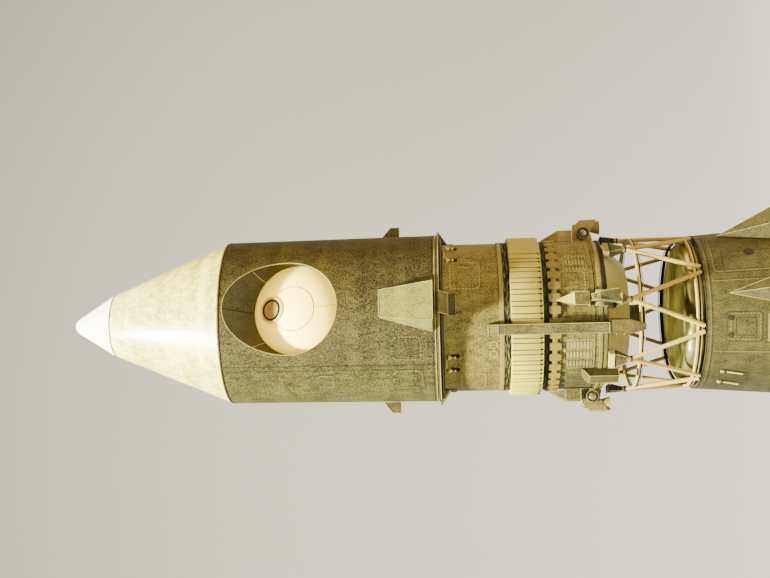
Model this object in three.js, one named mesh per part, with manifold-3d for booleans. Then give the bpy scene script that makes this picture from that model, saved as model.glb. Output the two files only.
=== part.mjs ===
// Three-stage space rocket as a 1:50 card display model. Millimetres, +Z up, standing on its engine bells.
import * as THREE from "three";
import { mergeVertices } from "three/addons/utils/BufferGeometryUtils.js";
import Module from "manifold-3d";

const wasm = await Module();
wasm.setup();

// Driving dimensions.
const GAP = 0.3;
const SEG = 48;
const TIP_Z = 767.2;
const NOSE_JOINT_Z = 752;
const CONE_FOOT_Z = 710.2;
const FAIRING_FOOT_Z = 638.4;
const FAIRING_R = [28.3, 29.0];
const SHELL_WALL = 0.8;
const TANK_R = 25.6;
const TANK_Z = [582.3, 636.0];
const HATCH = { z: 687.4, half: 15.7, up: 21.8, down: 16.6 };
const CAPSULE = { r: 26.2, z: 680.0, tilt: 14 };
const TUNNEL_END_R = 15.2;
const TRUSS_TOP = { r: 26.2, z: 574.9 };
const TRUSS_FOOT = { r: 25.7, z: 551.1 };
const STRUT_R = 0.75;
const FOOT_TURN = 20.3;
const CORE_TOP_Z = 550.5;
const CORE_R = 29.5;
const CORE_TAIL_R = 20.5;
const CORE_TAIL_Z = [14, 220];
const BOOSTER_FOOT = 50;
const BOOSTER_HEAD = 33.5;
const BOOSTER_Z = 396;
const BOOSTER_R = 26.8;
const QUARTERS = [0, 90, 180, 270];
const EIGHTHS = [0, 45, 90, 135, 180, 225, 270, 315];

// Colours.
const PRINT = 0x8a8468;
const PALE = 0xb9b596;
const CREAM = 0xe6d9ac;
const WHITE = 0xf0efe6;
const DARK = 0x3a3628;
const FOIL = 0xa8a690;

const rocket = new THREE.Group();
rocket.name = "space_rocket_model";

// Helpers.
const rad = (deg) => (deg * Math.PI) / 180;
const fairingRadius = (z) =>
  FAIRING_R[0] + ((FAIRING_R[1] - FAIRING_R[0]) * (CONE_FOOT_Z - z)) / (CONE_FOOT_Z - FAIRING_FOOT_Z);

// Closed mesh from a flat vertex list and faces, turned outward
function closed(verts, faces) {
  const geo = new THREE.BufferGeometry();
  geo.setAttribute("position", new THREE.Float32BufferAttribute(verts.flat(), 3));
  let volume = 0;
  for (const [a, b, c] of faces) {
    const [p, q, r] = [verts[a], verts[b], verts[c]];
    volume += p[0] * (q[1] * r[2] - q[2] * r[1]) - p[1] * (q[0] * r[2] - q[2] * r[0])
      + p[2] * (q[0] * r[1] - q[1] * r[0]);
  }
  geo.setIndex((volume < 0 ? faces.map(([a, b, c]) => [a, c, b]) : faces).flat());
  geo.computeVertexNormals();
  return geo;
}

// (r, z) profile revolved about Z; a profile that leaves the axis returns to it or closes on itself
function revolve(profile, seg = SEG) {
  const verts = [];
  const rings = profile.map(([r, z]) => {
    const first = verts.length;
    if (r < 1e-6) {
      verts.push([0, 0, z]);
      return [first, 0];
    }
    for (let i = 0; i < seg; i++) {
      const a = (2 * Math.PI * i) / seg;
      verts.push([r * Math.cos(a), r * Math.sin(a), z]);
    }
    return [first, 1];
  });
  const faces = [];
  rings.forEach(([a, fullA], k) => {
    const [b, fullB] = rings[(k + 1) % rings.length];
    for (let i = 0; i < seg; i++) {
      const j = (i + 1) % seg;
      if (fullA) faces.push([a + i, a + j, b + (fullB ? j : 0)]);
      if (fullB) faces.push([b + j, b + i, a + (fullA ? i : 0)]);
    }
  });
  return closed(verts, faces);
}

// Flat outline (x, y) pushed along z from z0 to z1
function prism(outline, z0, z1) {
  const n = outline.length;
  const verts = [...outline.map(([x, y]) => [x, y, z0]), ...outline.map(([x, y]) => [x, y, z1])];
  const caps = THREE.ShapeUtils.triangulateShape(outline.map(([x, y]) => new THREE.Vector2(x, y)), []);
  const turn = THREE.ShapeUtils.area(outline.map(([x, y]) => new THREE.Vector2(x, y))) > 0;
  const faces = [];
  for (const [a, b, c] of caps) {
    faces.push([a, c, b], [n + a, n + b, n + c]);
  }
  for (let i = 0; i < n; i++) {
    const j = (i + 1) % n;
    if (turn) faces.push([i, j, n + j], [i, n + j, n + i]);
    else faces.push([i, n + j, j], [i, n + i, n + j]);
  }
  return closed(verts, faces);
}

// (outward, z) side outline given a width across: stands on the -Y side
function sidePlate(outline, width) {
  const geo = prism(outline, -width / 2, width / 2);
  // Here x -> -y (outward), y -> z, z -> x
  geo.applyMatrix4(new THREE.Matrix4().set(0, 0, -1, 0, -1, 0, 0, 0, 0, 1, 0, 0, 0, 0, 0, 1));
  return geo;
}

function solid(geo) {
  const g = geo.clone();
  g.deleteAttribute("normal");
  g.deleteAttribute("uv");
  const m = mergeVertices(g, 1e-4);
  return new wasm.Manifold(new wasm.Mesh({
    numProp: 3,
    vertProperties: new Float32Array(m.attributes.position.array),
    triVerts: new Uint32Array(m.index.array),
  }));
}

function surface(man) {
  const mesh = man.getMesh();
  const geo = new THREE.BufferGeometry();
  const pos = new Float32Array(mesh.numVert * 3);
  for (let i = 0; i < mesh.numVert; i++) {
    for (let k = 0; k < 3; k++) pos[3 * i + k] = mesh.vertProperties[i * mesh.numProp + k];
  }
  geo.setAttribute("position", new THREE.BufferAttribute(pos, 3));
  geo.setIndex(Array.from(mesh.triVerts));
  return geo;
}

const joined = (...parts) => parts
  .map((p) => (p.isBufferGeometry ? solid(p) : p))
  .reduce((a, b) => a.add(b));
const hull = (points) => wasm.Manifold.hull(points);
const cut = (a, ...others) => others.map((p) => (p.isBufferGeometry ? solid(p) : p))
  .reduce((s, b) => s.subtract(b), a.isBufferGeometry ? solid(a) : a);

// Round bar between two points
function bar(p, q, r, seg = 8) {
  const a = new THREE.Vector3(...p);
  const b = new THREE.Vector3(...q);
  const geo = revolve([[0, 0], [r, 0], [r, a.distanceTo(b)], [0, a.distanceTo(b)]], seg);
  const along = b.clone().sub(a).normalize();
  const turn = new THREE.Quaternion().setFromUnitVectors(new THREE.Vector3(0, 0, 1), along);
  geo.applyQuaternion(turn);
  geo.translate(...p);
  return geo;
}

const polar = (r, deg, z) => [r * Math.sin(rad(deg)), -r * Math.cos(rad(deg)), z];
const turned = (part, deg) => (
  part.isBufferGeometry ? part.clone().rotateZ(rad(deg)) : part.rotate([0, 0, deg])
);

function add(name, geo, colour, { metal = 0, rough = 0.8 } = {}) {
  const g = geo.isBufferGeometry ? geo : surface(geo);
  const flat = g.index ? g.toNonIndexed() : g;
  flat.deleteAttribute("normal");
  const clean = mergeVertices(flat, 1e-4);
  clean.computeVertexNormals();
  const mesh = new THREE.Mesh(
    clean,
    new THREE.MeshStandardMaterial({
      color: colour, metalness: metal, roughness: rough, flatShading: true,
    }),
  );
  mesh.name = name;
  rocket.add(mesh);
}

// Nose.
add("nose_tip", revolve([
  [0, NOSE_JOINT_Z + GAP / 2], [11.0, NOSE_JOINT_Z + GAP / 2], [3.2, 764.7], [2.0, 766.4], [0, TIP_Z],
]), WHITE);
add("nose_cone", revolve([
  [0, CONE_FOOT_Z + GAP / 2], [28.1, CONE_FOOT_Z + GAP / 2], [11.1, NOSE_JOINT_Z - GAP / 2],
  [0, NOSE_JOINT_Z - GAP / 2],
]), PALE);

// Fairing with its hatch, the tunnel behind the hatch and the capsule.
const SHELL_TOP = CONE_FOOT_Z - GAP / 2;
function hatchOutline(grow, n = 48) {
  const out = [];
  for (let i = 0; i < n; i++) {
    const t = (2 * Math.PI * i) / n;
    const b = Math.cos(t) > 0 ? HATCH.up : HATCH.down;
    out.push([(HATCH.half + grow) * Math.sin(t), HATCH.z + (b + grow) * Math.cos(t)]);
  }
  return out;
}
const shellTube = revolve([
  [FAIRING_R[1], FAIRING_FOOT_Z], [FAIRING_R[0], SHELL_TOP],
  [FAIRING_R[0] - SHELL_WALL, SHELL_TOP], [FAIRING_R[1] - SHELL_WALL, FAIRING_FOOT_Z],
], 72);
const hatchCutter = prism(hatchOutline(0), 10, 40);
hatchCutter.rotateX(Math.PI / 2);
add("fairing_shell", cut(shellTube, hatchCutter), PRINT);

// A point of the capsule's round: radius r about the direction that looks out of the hatch, h above
// The centre.
function capsulePoint(r, t, h) {
  const [c, q] = [Math.cos(rad(CAPSULE.tilt)), Math.sin(rad(CAPSULE.tilt))];
  return [r * Math.sin(t), -h * c + r * Math.cos(t) * q, CAPSULE.z + h * q + r * Math.cos(t) * c];
}
// Ruled tunnel from the inside of the hatch edge to a circle just above the capsule.
function tunnel() {
  const n = hatchOutline(0).length;
  const onShell = ([x, z]) => {
    const r = fairingRadius(z) - SHELL_WALL - 0.3;
    return [x, -Math.sqrt(r * r - x * x), z];
  };
  const endH = Math.sqrt((CAPSULE.r + 0.35) ** 2 - TUNNEL_END_R ** 2);
  const end = (grow) => hatchOutline(0)
    .map((_, i) => capsulePoint(TUNNEL_END_R + grow, (2 * Math.PI * i) / n, endH));
  const mouth = (grow) => hatchOutline(grow).map(onShell);
  const verts = [...mouth(0), ...mouth(0.6), ...end(0.6), ...end(0)];
  const faces = [];
  for (let k = 0; k < 4; k++) {
    const a = k * n;
    const b = ((k + 1) % 4) * n;
    for (let i = 0; i < n; i++) {
      const j = (i + 1) % n;
      faces.push([a + i, a + j, b + j], [a + i, b + j, b + i]);
    }
  }
  return closed(verts, faces);
}
add("hatch_tunnel", tunnel(), DARK);

// Capsule pieces are revolved about their own outward axis; only the dome seen in the tunnel is made.
const arc = (r, from, to, n) => Array.from({ length: n + 1 }, (_, i) => {
  const t = from + ((to - from) * i) / n;
  return [r * Math.sin(t), r * Math.cos(t)];
});
const reach = (r) => Math.asin(r / CAPSULE.r);
const outward = (geo, tilt) => {
  geo.rotateX(Math.PI / 2 - rad(tilt));
  geo.translate(0, 0, CAPSULE.z);
  return geo;
};
const PORTHOLE_TILT = 31;
const portholeHole = outward(revolve([[0, 24.5], [3.95, 24.5], [3.95, 30], [0, 30]], 24), PORTHOLE_TILT);
add("capsule_dome", cut(outward(revolve([
  [0, 19.7], [0, 24.0], [7.7, 24.0], ...arc(CAPSULE.r, reach(7.7), reach(15.5), 6), [15.5, 19.7],
], 48), CAPSULE.tilt), portholeHole), CREAM);
add("capsule_hatch", cut(outward(revolve([
  [0, 24.3], [7.4, 24.3], ...arc(CAPSULE.r, reach(7.4), 0, 4).slice(0, -1), [0, CAPSULE.r],
], 36), CAPSULE.tilt), portholeHole), CREAM);
add("capsule_porthole", outward(revolve([
  [0, 24.8], [3.65, 24.8], [3.65, 26.2], [3.1, 26.5], [2.7, 26.4], [2.7, 25.8], [0, 25.8],
], 24), PORTHOLE_TILT), DARK);

// Pieces standing on the fairing.
const shellRoom = revolve([
  [0, FAIRING_FOOT_Z - 2], [FAIRING_R[1] + 0.27, FAIRING_FOOT_Z - 2], [FAIRING_R[0] + 0.27, CONE_FOOT_Z],
  [0, CONE_FOOT_Z],
], 72);
add("fairing_box", cut(hull([
  [-4.4, -29.7, 656.9], [4.4, -29.7, 656.9], [-5.0, -26.4, 656.9], [5.0, -26.4, 656.9],
  [-6.5, -32.8, 639.3], [6.5, -32.8, 639.3], [-10.0, -26.4, 639.3], [10.0, -26.4, 639.3],
]), shellRoom), PALE);
const finSide = [[29.25, 651.2], [33.0, 651.2], [33.0, 654.2], [29.25, 657.3]];
add("fairing_fin_right", turned(sidePlate(finSide, 1.4), 90), PRINT);
add("fairing_fin_left", turned(sidePlate(finSide, 1.4), 270), PRINT);

// Flange ring closing the fairing, with its four gussets
const gusset = sidePlate([[25.9, 637.9], [30.2, 637.9], [30.2, 637.2], [25.9, 634.4]], 7.2);
add("fairing_base_ring", joined(
  revolve([[0, 636.3], [27.6, 636.3], [27.6, 637.2], [29.3, 637.3], [29.3, 638.1], [0, 638.1]]),
  ...QUARTERS.map((a) => turned(gusset, a)),
), PRINT);

// Third stage.
add("third_stage_tank", revolve([
  [0, TANK_Z[0]], [TANK_R, TANK_Z[0]], [TANK_R, TANK_Z[1]], [0, TANK_Z[1]],
]), PRINT);
add("ribbed_band", revolve([
  [25.9, 603.1], [27.3, 603.1], [27.5, 603.4], [27.5, 613.0], [27.3, 613.3], [25.9, 613.3],
]), CREAM);
add("tooth_band", revolve([[25.9, 597.2], [26.4, 597.2], [26.4, 600.8], [25.9, 600.8]]), CREAM);

add("raceway_box", turned(sidePlate([
  [25.95, 582.1], [29.0, 582.1], [29.0, 621.4], [25.95, 621.4], [25.95, 613.65], [27.85, 613.65],
  [27.85, 602.75], [25.95, 602.75], [25.95, 601.1], [26.75, 601.1], [26.75, 596.9], [25.95, 596.9],
], 3.3), -19), PALE);
// Box narrowing from one rectangle [half width, inner, outer, z] to the next, on the -Y side
const tapered = (...stations) => hull(stations.flatMap(([w, inner, outer, z]) => [
  [-w, -inner, z], [w, -inner, z], [-w, -outer, z], [w, -outer, z],
]));
add("raceway_tail", turned(
  tapered([2.5, 25.9, 29.4, 581.8], [2.5, 25.9, 29.4, 576.2], [0.9, 27.6, 28.9, 570.4]), -19,
), PALE);
add("channel_box", turned(
  tapered([1.8, 25.95, 26.6, 590], [1.8, 25.95, 29.2, 588.2], [1.8, 25.95, 29.2, 577]), -58,
), PRINT);

// Steering engine fairings and units, one pair to each quarter
const pointed = tapered([0.05, 26.9, 27.0, 599], [2.15, 25.98, 29.9, 593.2], [2.15, 25.98, 29.9, 588.3]);
const unitPlate = sidePlate([
  [25.95, 587.8], [31, 587.8], [33.6, 585.4], [33.6, 579.5], [29.3, 582], [26.5, 581.2], [25.95, 582.6],
], 3.4);
const unitBoss = bar([-2.95, -28.6, 584.3], [2.95, -28.6, 584.3], 2.0, 12);
const cup = revolve([[0, 582.6], [1.5, 582.6], [2.6, 578.5], [2.1, 578.5], [1.2, 581.2], [0, 581.2]], 12);
cup.translate(0, -31.2, 0);
const unitCore = tapered([1.4, 29.9, 32.5, 584], [1.4, 29.9, 32.5, 581.9]);
const unit = joined(unitPlate, unitBoss, unitCore, cup);
// They are glued on by hand: the ones at the sides sit a little nearer the nose than the front one.
const UNIT_LIFT = { 0: 0, 90: 2.0, 180: 1.4, 270: 1.4 };
const toothRoom = revolve([[0, 596.9], [26.7, 596.9], [26.7, 601.1], [0, 601.1]]);
QUARTERS.forEach((a) => {
  const place = (part) => turned(cut(part).translate([0, 0, UNIT_LIFT[a]]), a);
  add(`steering_fairing_${a}`, cut(place(pointed), toothRoom), PRINT);
  add(`steering_engine_${a}`, place(unit), PRINT);
});

add("third_stage_base_cone", revolve([[0, 574], [17.5, 574], [25, 582], [0, 582]]), CREAM);
add("third_stage_engine", revolve([
  [0, 573.7], [4.2, 573.7], [4.2, 572.4], [3.1, 572.1], [3.6, 566.5], [3.0, 566.5], [2.4, 571], [0, 571],
], 24), DARK);

// Open truss between the stages: sixteen struts, two hoops and the brackets they start from.
const torus = (r, tube, z, seg = SEG) => revolve(Array.from({ length: 6 }, (_, i) => {
  const t = (2 * Math.PI * (i + 0.5)) / 6;
  return [r + tube * Math.cos(t), z + tube * Math.sin(t)];
}), seg);
const struts = EIGHTHS.flatMap((a) => [-FOOT_TURN, FOOT_TURN].map((d) => bar(
  polar(TRUSS_TOP.r, a, TRUSS_TOP.z), polar(TRUSS_FOOT.r, a + d, TRUSS_FOOT.z), STRUT_R,
)));
const coneRoom = revolve([[0, 573], [17.5 + 0.45, 573.6], [25.45, 582.3], [0, 582.3]]);
const bracket = (top) => tapered([2.7, 22, 27.3, top], [2.7, 22, 27.3, 579.8]).add(
  tapered([2.4, 23, 27.1, 580.0], [0.8, 25.4, 26.9, 574.6]));
const nodeBall = bar([0, -TRUSS_TOP.r, 576.2], [0, -TRUSS_TOP.r, 573.9], 1.0, 12);
add("stage_truss", cut(joined(
  ...struts,
  torus(25.6, 0.6, 571.5),
  torus(25.3, 0.6, 553.1),
  ...EIGHTHS.flatMap((a) => [turned(bracket(a % 90 ? 581.9 : 580.8), a), turned(nodeBall, a)]),
), coneRoom), CREAM);

// Core stage.
add("dish_collar", revolve([
  [23.3, 550.8], [24.0, 550.8], [24.0, 556.5], [23.3, 556.5],
]), FOIL, { metal: 0.6, rough: 0.3 });
add("foil_dish", revolve([
  [0, 550.8], [23.0, 550.8], [23.0, 554.4], [17, 553.6], [8, 553.0], [0, 552.9],
]), FOIL, { metal: 0.6, rough: 0.3 });
const CORE = [[26.4, CORE_TOP_Z], [28.4, 523], [CORE_R, 505], [CORE_R, 400], [CORE_TAIL_R, CORE_TAIL_Z[1]]];
const coreRadius = (z) => {
  const k = CORE.findIndex(([, zz]) => zz <= z);
  if (k <= 0) return CORE[Math.max(k, 0)][0];
  const [[r0, z0], [r1, z1]] = [CORE[k - 1], CORE[k]];
  return r0 + ((r1 - r0) * (z - z0)) / (z1 - z0);
};
const stack = (top, foot) => {
  const inner = CORE.filter(([, z]) => z < top - 0.5 && z > foot + 0.5);
  return revolve([[0, top], [coreRadius(top), top], ...inner, [coreRadius(foot), foot], [0, foot]]);
};
add("core_head", stack(CORE_TOP_Z, 505.15), PRINT);
add("core_tank", stack(504.85, 400.15), PRINT);
add("core_taper", stack(399.85, CORE_TAIL_Z[1] + GAP / 2), PRINT);
const tailSkirt = (r, z0, z1) => revolve([
  [r, z0], [r, z1], [0, z1], [0, z0 + 6], [r - 1.2, z0 + 6], [r - 1.2, z0],
], 32);
add("core_tail", tailSkirt(CORE_TAIL_R, CORE_TAIL_Z[0], CORE_TAIL_Z[1] - GAP / 2), PRINT);

// Delta wedges round the core head
const wedgeRoom = revolve([
  [0, 560], [26.4 + 0.25, 560], [26.4 + 0.25, CORE_TOP_Z], [28.4 + 0.27, 523],
  [CORE_R + 0.27, 505], [CORE_R + 0.27, 490], [0, 490],
]);
const wedge = cut(hull([
  [0, -27.4, 543.2], [0, -26.5, 543.2],
  [-8.2, -26, 517.6], [8.2, -26, 517.6], [-8.2, -36.5, 517.6], [8.2, -36.5, 517.6],
  [0, -42.0, 517.6],
]), wedgeRoom);
[2, 58, 122, 178].forEach((a, k) => add(`core_wedge_${k + 1}`, turned(wedge, a), PALE));
// Raised hatch box on the core head
const hatchBox = tapered([4.3, 26, 29.0, 531.5], [4.3, 26, 30.2, 523]);
add("core_hatch_box", cut(turned(hatchBox, -21.5), wedgeRoom), PALE);

// Engines: hollow bells hung on a round plate, rims at z = 0.
const bellProfile = (r, h) => [
  [0, h + 0.6], [r * 0.4, h + 0.6], [r * 0.4, h * 0.8], [r * 0.78, h * 0.38], [r, 0],
  [r - 0.7, 0], [r * 0.78 - 0.7, h * 0.38], [0, h * 0.75],
];
function engine(plateR, plateZ, verniers) {
  const bells = QUARTERS.map((a) => {
    const b = revolve(bellProfile(6.9, plateZ), 14);
    b.translate(...polar(11.3, a + 45, 0));
    return b;
  });
  const small = verniers.map(([r, a]) => {
    const b = revolve([
      [0, plateZ + 0.6], [1.1, plateZ + 0.6], [1.1, 12], [2.6, 6], [2.0, 6], [0, 10.5],
    ], 10);
    b.translate(...polar(r, a, 0));
    return b;
  });
  const plate = revolve([[0, plateZ], [plateR, plateZ], [plateR, plateZ + 1.6], [0, plateZ + 1.6]], 32);
  return joined(plate, ...bells, ...small);
}
add("core_engine", engine(CORE_TAIL_R - 1.6, 18, [[16.2, 0], [16.2, 90], [16.2, 180], [16.2, 270]]), DARK);

// Strap-on boosters.
const lean = (BOOSTER_HEAD - BOOSTER_FOOT) / BOOSTER_Z;
const leant = (geo) => {
  const g = geo.clone();
  const p = g.attributes.position;
  for (let i = 0; i < p.count; i++) p.setY(i, p.getY(i) - (BOOSTER_FOOT + lean * p.getZ(i)));
  return g;
};
const boosterCone = leant(revolve([
  [0, 50.3], [26.5, 50.3], [24, 110], [20.2, 170], [16.5, 220], [9.9, 300], [4.6, 370], [3.2, 390],
  [2.4, 394.6], [0, BOOSTER_Z],
], 32));
const boosterTail = leant(revolve([
  [BOOSTER_R, 12], [BOOSTER_R, 50], [0, 50], [0, 18], [BOOSTER_R - 1.2, 18], [BOOSTER_R - 1.2, 12],
], 32));
const boosterEngine = engine(25.1, 16, [[20.5, -38], [20.5, 38]]);
const fin = sidePlate([[76.8, 12.5], [102.4, 12.5], [102.4, 17], [75.4, 52]], 1.6);
[45, 135, 225, 315].forEach((a, k) => {
  const n = k + 1;
  add(`booster${n}_body`, turned(boosterCone, a), PRINT);
  add(`booster${n}_tail`, turned(boosterTail, a), PRINT);
  add(`booster${n}_engine`, turned(boosterEngine.translate([0, -(BOOSTER_FOOT + lean * 16), 0]), a), DARK);
  add(`booster${n}_fin`, turned(fin, a), PALE);
});
// Belts that hold the boosters to the core
const headSocket = tapered([3, CORE_R, 36.5, 397.0], [3, CORE_R, 36.5, 399.6]);
add("booster_head_belt", cut(joined(
  revolve([[28, 396.6], [30.5, 396.6], [30.5, 399.9], [28, 399.9]]),
  ...[45, 135, 225, 315].map((a) => turned(headSocket, a)),
), revolve([[0, 390], [CORE_R + 0.3, 390], [CORE_R + 0.3, 405], [0, 405]])), PALE);
add("booster_foot_belt", revolve([[20.8, 17], [21.95, 17], [21.95, 22], [20.8, 22]]), PALE);

export default rocket;
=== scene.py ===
"""A three-stage space rocket as a printed card model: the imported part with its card, foil and fittings."""

import math

import bmesh
import bpy
from mathutils import Matrix, Vector


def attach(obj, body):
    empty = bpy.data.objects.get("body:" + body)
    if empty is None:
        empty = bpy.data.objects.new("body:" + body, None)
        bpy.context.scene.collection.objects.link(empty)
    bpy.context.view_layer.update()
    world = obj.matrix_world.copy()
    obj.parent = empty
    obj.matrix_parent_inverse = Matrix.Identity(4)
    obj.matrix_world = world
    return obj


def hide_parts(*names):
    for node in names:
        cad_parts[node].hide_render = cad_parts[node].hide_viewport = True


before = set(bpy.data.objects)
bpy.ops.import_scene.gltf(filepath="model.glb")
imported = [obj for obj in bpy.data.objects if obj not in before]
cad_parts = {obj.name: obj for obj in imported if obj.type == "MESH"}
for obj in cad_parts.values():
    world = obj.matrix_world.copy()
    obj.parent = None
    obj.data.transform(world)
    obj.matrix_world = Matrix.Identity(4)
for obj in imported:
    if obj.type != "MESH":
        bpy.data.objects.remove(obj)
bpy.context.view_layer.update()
MM = 0.001

# Sizes in millimetres, as in the part's source. Azimuth 0 is the hatch side (-Y) and grows towards +X.
NOSE_JOINT = 752.0
SHELL = {"top": 710.05, "foot": 638.4, "r_top": 28.3, "r_foot": 29.0, "wall": 0.8}
HATCH = {"z": 687.4, "half": 15.7, "up": 21.8, "down": 16.6}
CAPSULE = {"r": 25.8, "z": 680.0, "tilt": 14.0}
TUNNEL_END = 15.2
TANK = {"r": 25.6, "foot": 582.3, "top": 636.0}
TRUSS_TOP = (26.2, 574.9)
TRUSS_FOOT = (25.7, 551.1)
FOOT_TURN = 20.3
RACEWAY_TURN = -19
CHANNEL_TURN = -58
CORE_BOX_TURN = -21.5
CORE = [(26.4, 550.5), (28.4, 523.0), (29.5, 505.0), (29.5, 400.0), (20.5, 220.0)]
CORE_TAIL_R = 20.5
BOOSTER = {"foot": 50.0, "head": 33.5, "z": 396.0, "r": 26.8}
BOOSTER_TURNS = (45, 135, 225, 315)

# Camera. The focal length is in pixels of a photo of that width.
PHOTO_WIDTH, FOCAL = 770.0, 1149.0
SENSOR = 36.0
AXIS_DISTANCE = 404.0
FOOT_HEIGHT = 633.0
CAMERA_AZIMUTH = math.radians(10.5)
NOSE_TURN = math.radians(3.31)
SIDE_TURN = math.radians(1.52)
ROLL = math.radians(1.46)


def photo_camera():
    """The photo's view: level with the third stage, the nose to the left of the picture."""
    inward = Vector((math.sin(CAMERA_AZIMUTH), math.cos(CAMERA_AZIMUTH), 0))
    side = Vector((math.cos(CAMERA_AZIMUTH), -math.sin(CAMERA_AZIMUTH), 0))
    nose = Vector((0, 0, 1))
    forward = inward * math.cos(NOSE_TURN) + nose * math.sin(NOSE_TURN) + side * math.tan(SIDE_TURN)
    forward.normalize()
    right = (-nose - forward * forward.dot(-nose)).normalized()
    up = right.cross(forward)
    rolled = Matrix.Rotation(ROLL, 3, forward)
    right, up = rolled @ right, rolled @ up
    camera = bpy.data.objects.new("camera", bpy.data.cameras.new("camera"))
    bpy.context.scene.collection.objects.link(camera)
    turn = Matrix((right, up, -forward)).transposed().to_4x4()
    place = Vector((0, 0, FOOT_HEIGHT)) - inward * AXIS_DISTANCE
    camera.matrix_world = Matrix.Translation(place * MM) @ turn
    camera.data.sensor_width = SENSOR
    camera.data.lens = FOCAL / PHOTO_WIDTH * SENSOR
    camera.data.clip_start = 0.01
    camera.data.clip_end = 50.0
    bpy.context.scene.camera = camera


photo_camera()

# Shader node short-hands.


def feed(tree, socket, value):
    """Gives a socket its value, or links the value to it where that is a socket too."""
    if isinstance(value, bpy.types.NodeSocket):
        tree.links.new(value, socket)
    else:
        socket.default_value = value


def node(tree, kind, inputs=None, **settings):
    """A node with its settings, and with inputs given as values or as sockets to link."""
    made = tree.nodes.new(kind)
    for key, value in settings.items():
        setattr(made, key, value)
    for key, value in (inputs or {}).items():
        feed(tree, made.inputs[key], value)
    return made


def sums(tree, operation, *values):
    """One Math node's value."""
    made = node(tree, "ShaderNodeMath", operation=operation)
    for socket, value in zip(made.inputs, values):
        feed(tree, socket, value)
    return made.outputs[0]


def blend(tree, mask, a, b, kind="MIX"):
    """Colour a turned into colour b by the mask."""
    return node(tree, "ShaderNodeMix", {0: mask, 6: a, 7: b}, data_type="RGBA", blend_type=kind).outputs[2]


def ramp(tree, value, start, end):
    """A value that runs from 0 at its start to 1 at its end."""
    return node(tree, "ShaderNodeMapRange", {"Value": value, "From Min": start, "From Max": end}).outputs[0]


def noise(tree, where, scale, **more):
    """Noise of a scale at a place."""
    inputs = {key.capitalize(): value for key, value in more.items()}
    return node(tree, "ShaderNodeTexNoise", {"Vector": where, "Scale": scale, **inputs}).outputs[0]


def new_group(name, inputs, outputs):
    """An empty shader node group with named sockets: {name: (kind, default)} in and {name: kind} out."""
    group = bpy.data.node_groups.new(name, "ShaderNodeTree")
    for label, (kind, default) in inputs.items():
        group.interface.new_socket(label, in_out="INPUT", socket_type=kind).default_value = default
    for label, kind in outputs.items():
        group.interface.new_socket(label, in_out="OUTPUT", socket_type=kind)
    return group, group.nodes.new("NodeGroupInput"), group.nodes.new("NodeGroupOutput")


FLOAT, COLOUR, WHOLE, OBJECT = "NodeSocketFloat", "NodeSocketColor", "NodeSocketInt", "NodeSocketObject"


def card_grain_group():
    """Speckled print on card: fine dark specks, soft stains and faint streaks round the tube."""
    group, given, out = new_group("card_grain", {
        "Light": (COLOUR, (0.5, 0.5, 0.4, 1)), "Dark": (COLOUR, (0.1, 0.1, 0.07, 1)),
        "Speck amount": (FLOAT, 0.5), "Stain amount": (FLOAT, 0.4),
    }, {"Colour": COLOUR, "Height": FLOAT, "Roughness": FLOAT})
    here = node(group, "ShaderNodeTexCoord").outputs["Object"]
    stretched = node(group, "ShaderNodeMapping", {"Vector": here, "Scale": (1.0, 1.0, 0.35)}).outputs[0]
    banded = node(group, "ShaderNodeMapping", {"Vector": here, "Scale": (0.04, 0.04, 1.0)}).outputs[0]
    specks = ramp(group, noise(group, here, 2700.0, detail=3.0, roughness=0.7), 0.42, 0.56)
    coarse = noise(group, stretched, 600.0, detail=4.0, roughness=0.65)
    stains = noise(group, here, 110.0, detail=3.0, roughness=0.6)
    streaks = noise(group, banded, 260.0, detail=4.0)
    cloud = sums(group, "MULTIPLY", coarse, 0.48)
    cloud = sums(group, "MULTIPLY_ADD", stains, 0.24, cloud)
    cloud = ramp(group, sums(group, "MULTIPLY_ADD", streaks, 0.28, cloud), 0.41, 0.60)
    ink = sums(group, "MULTIPLY", sums(group, "SUBTRACT", 1.0, specks), given.outputs["Speck amount"])
    ink = sums(group, "MULTIPLY_ADD", sums(group, "SUBTRACT", 1.0, cloud), given.outputs["Stain amount"], ink)
    ink = node(group, "ShaderNodeClamp", {"Value": ink}).outputs[0]
    fibre = noise(group, here, 2600.0, detail=2.0)
    for label, socket in (
        ("Colour", blend(group, ink, given.outputs["Light"], given.outputs["Dark"])),
        ("Height", sums(group, "MULTIPLY_ADD", fibre, 0.6, sums(group, "MULTIPLY", cloud, 0.4))),
        ("Roughness", sums(group, "MULTIPLY_ADD", coarse, 0.22, 0.50)),
    ):
        group.links.new(socket, out.inputs[label])
    return group


def tube_place_group():
    """Where a point is on the upright tube: degrees from the hatch side, and height in millimetres."""
    group, _, out = new_group("tube_place", {}, {"Angle": FLOAT, "Height": FLOAT})
    here = node(group, "ShaderNodeSeparateXYZ", {0: node(group, "ShaderNodeTexCoord").outputs["Object"]})
    angle = sums(group, "ARCTAN2", here.outputs[0], sums(group, "MULTIPLY", here.outputs[1], -1.0))
    group.links.new(sums(group, "MULTIPLY", angle, 180 / math.pi), out.inputs["Angle"])
    group.links.new(sums(group, "MULTIPLY", here.outputs[2], 1000.0), out.inputs["Height"])
    return group


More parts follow.
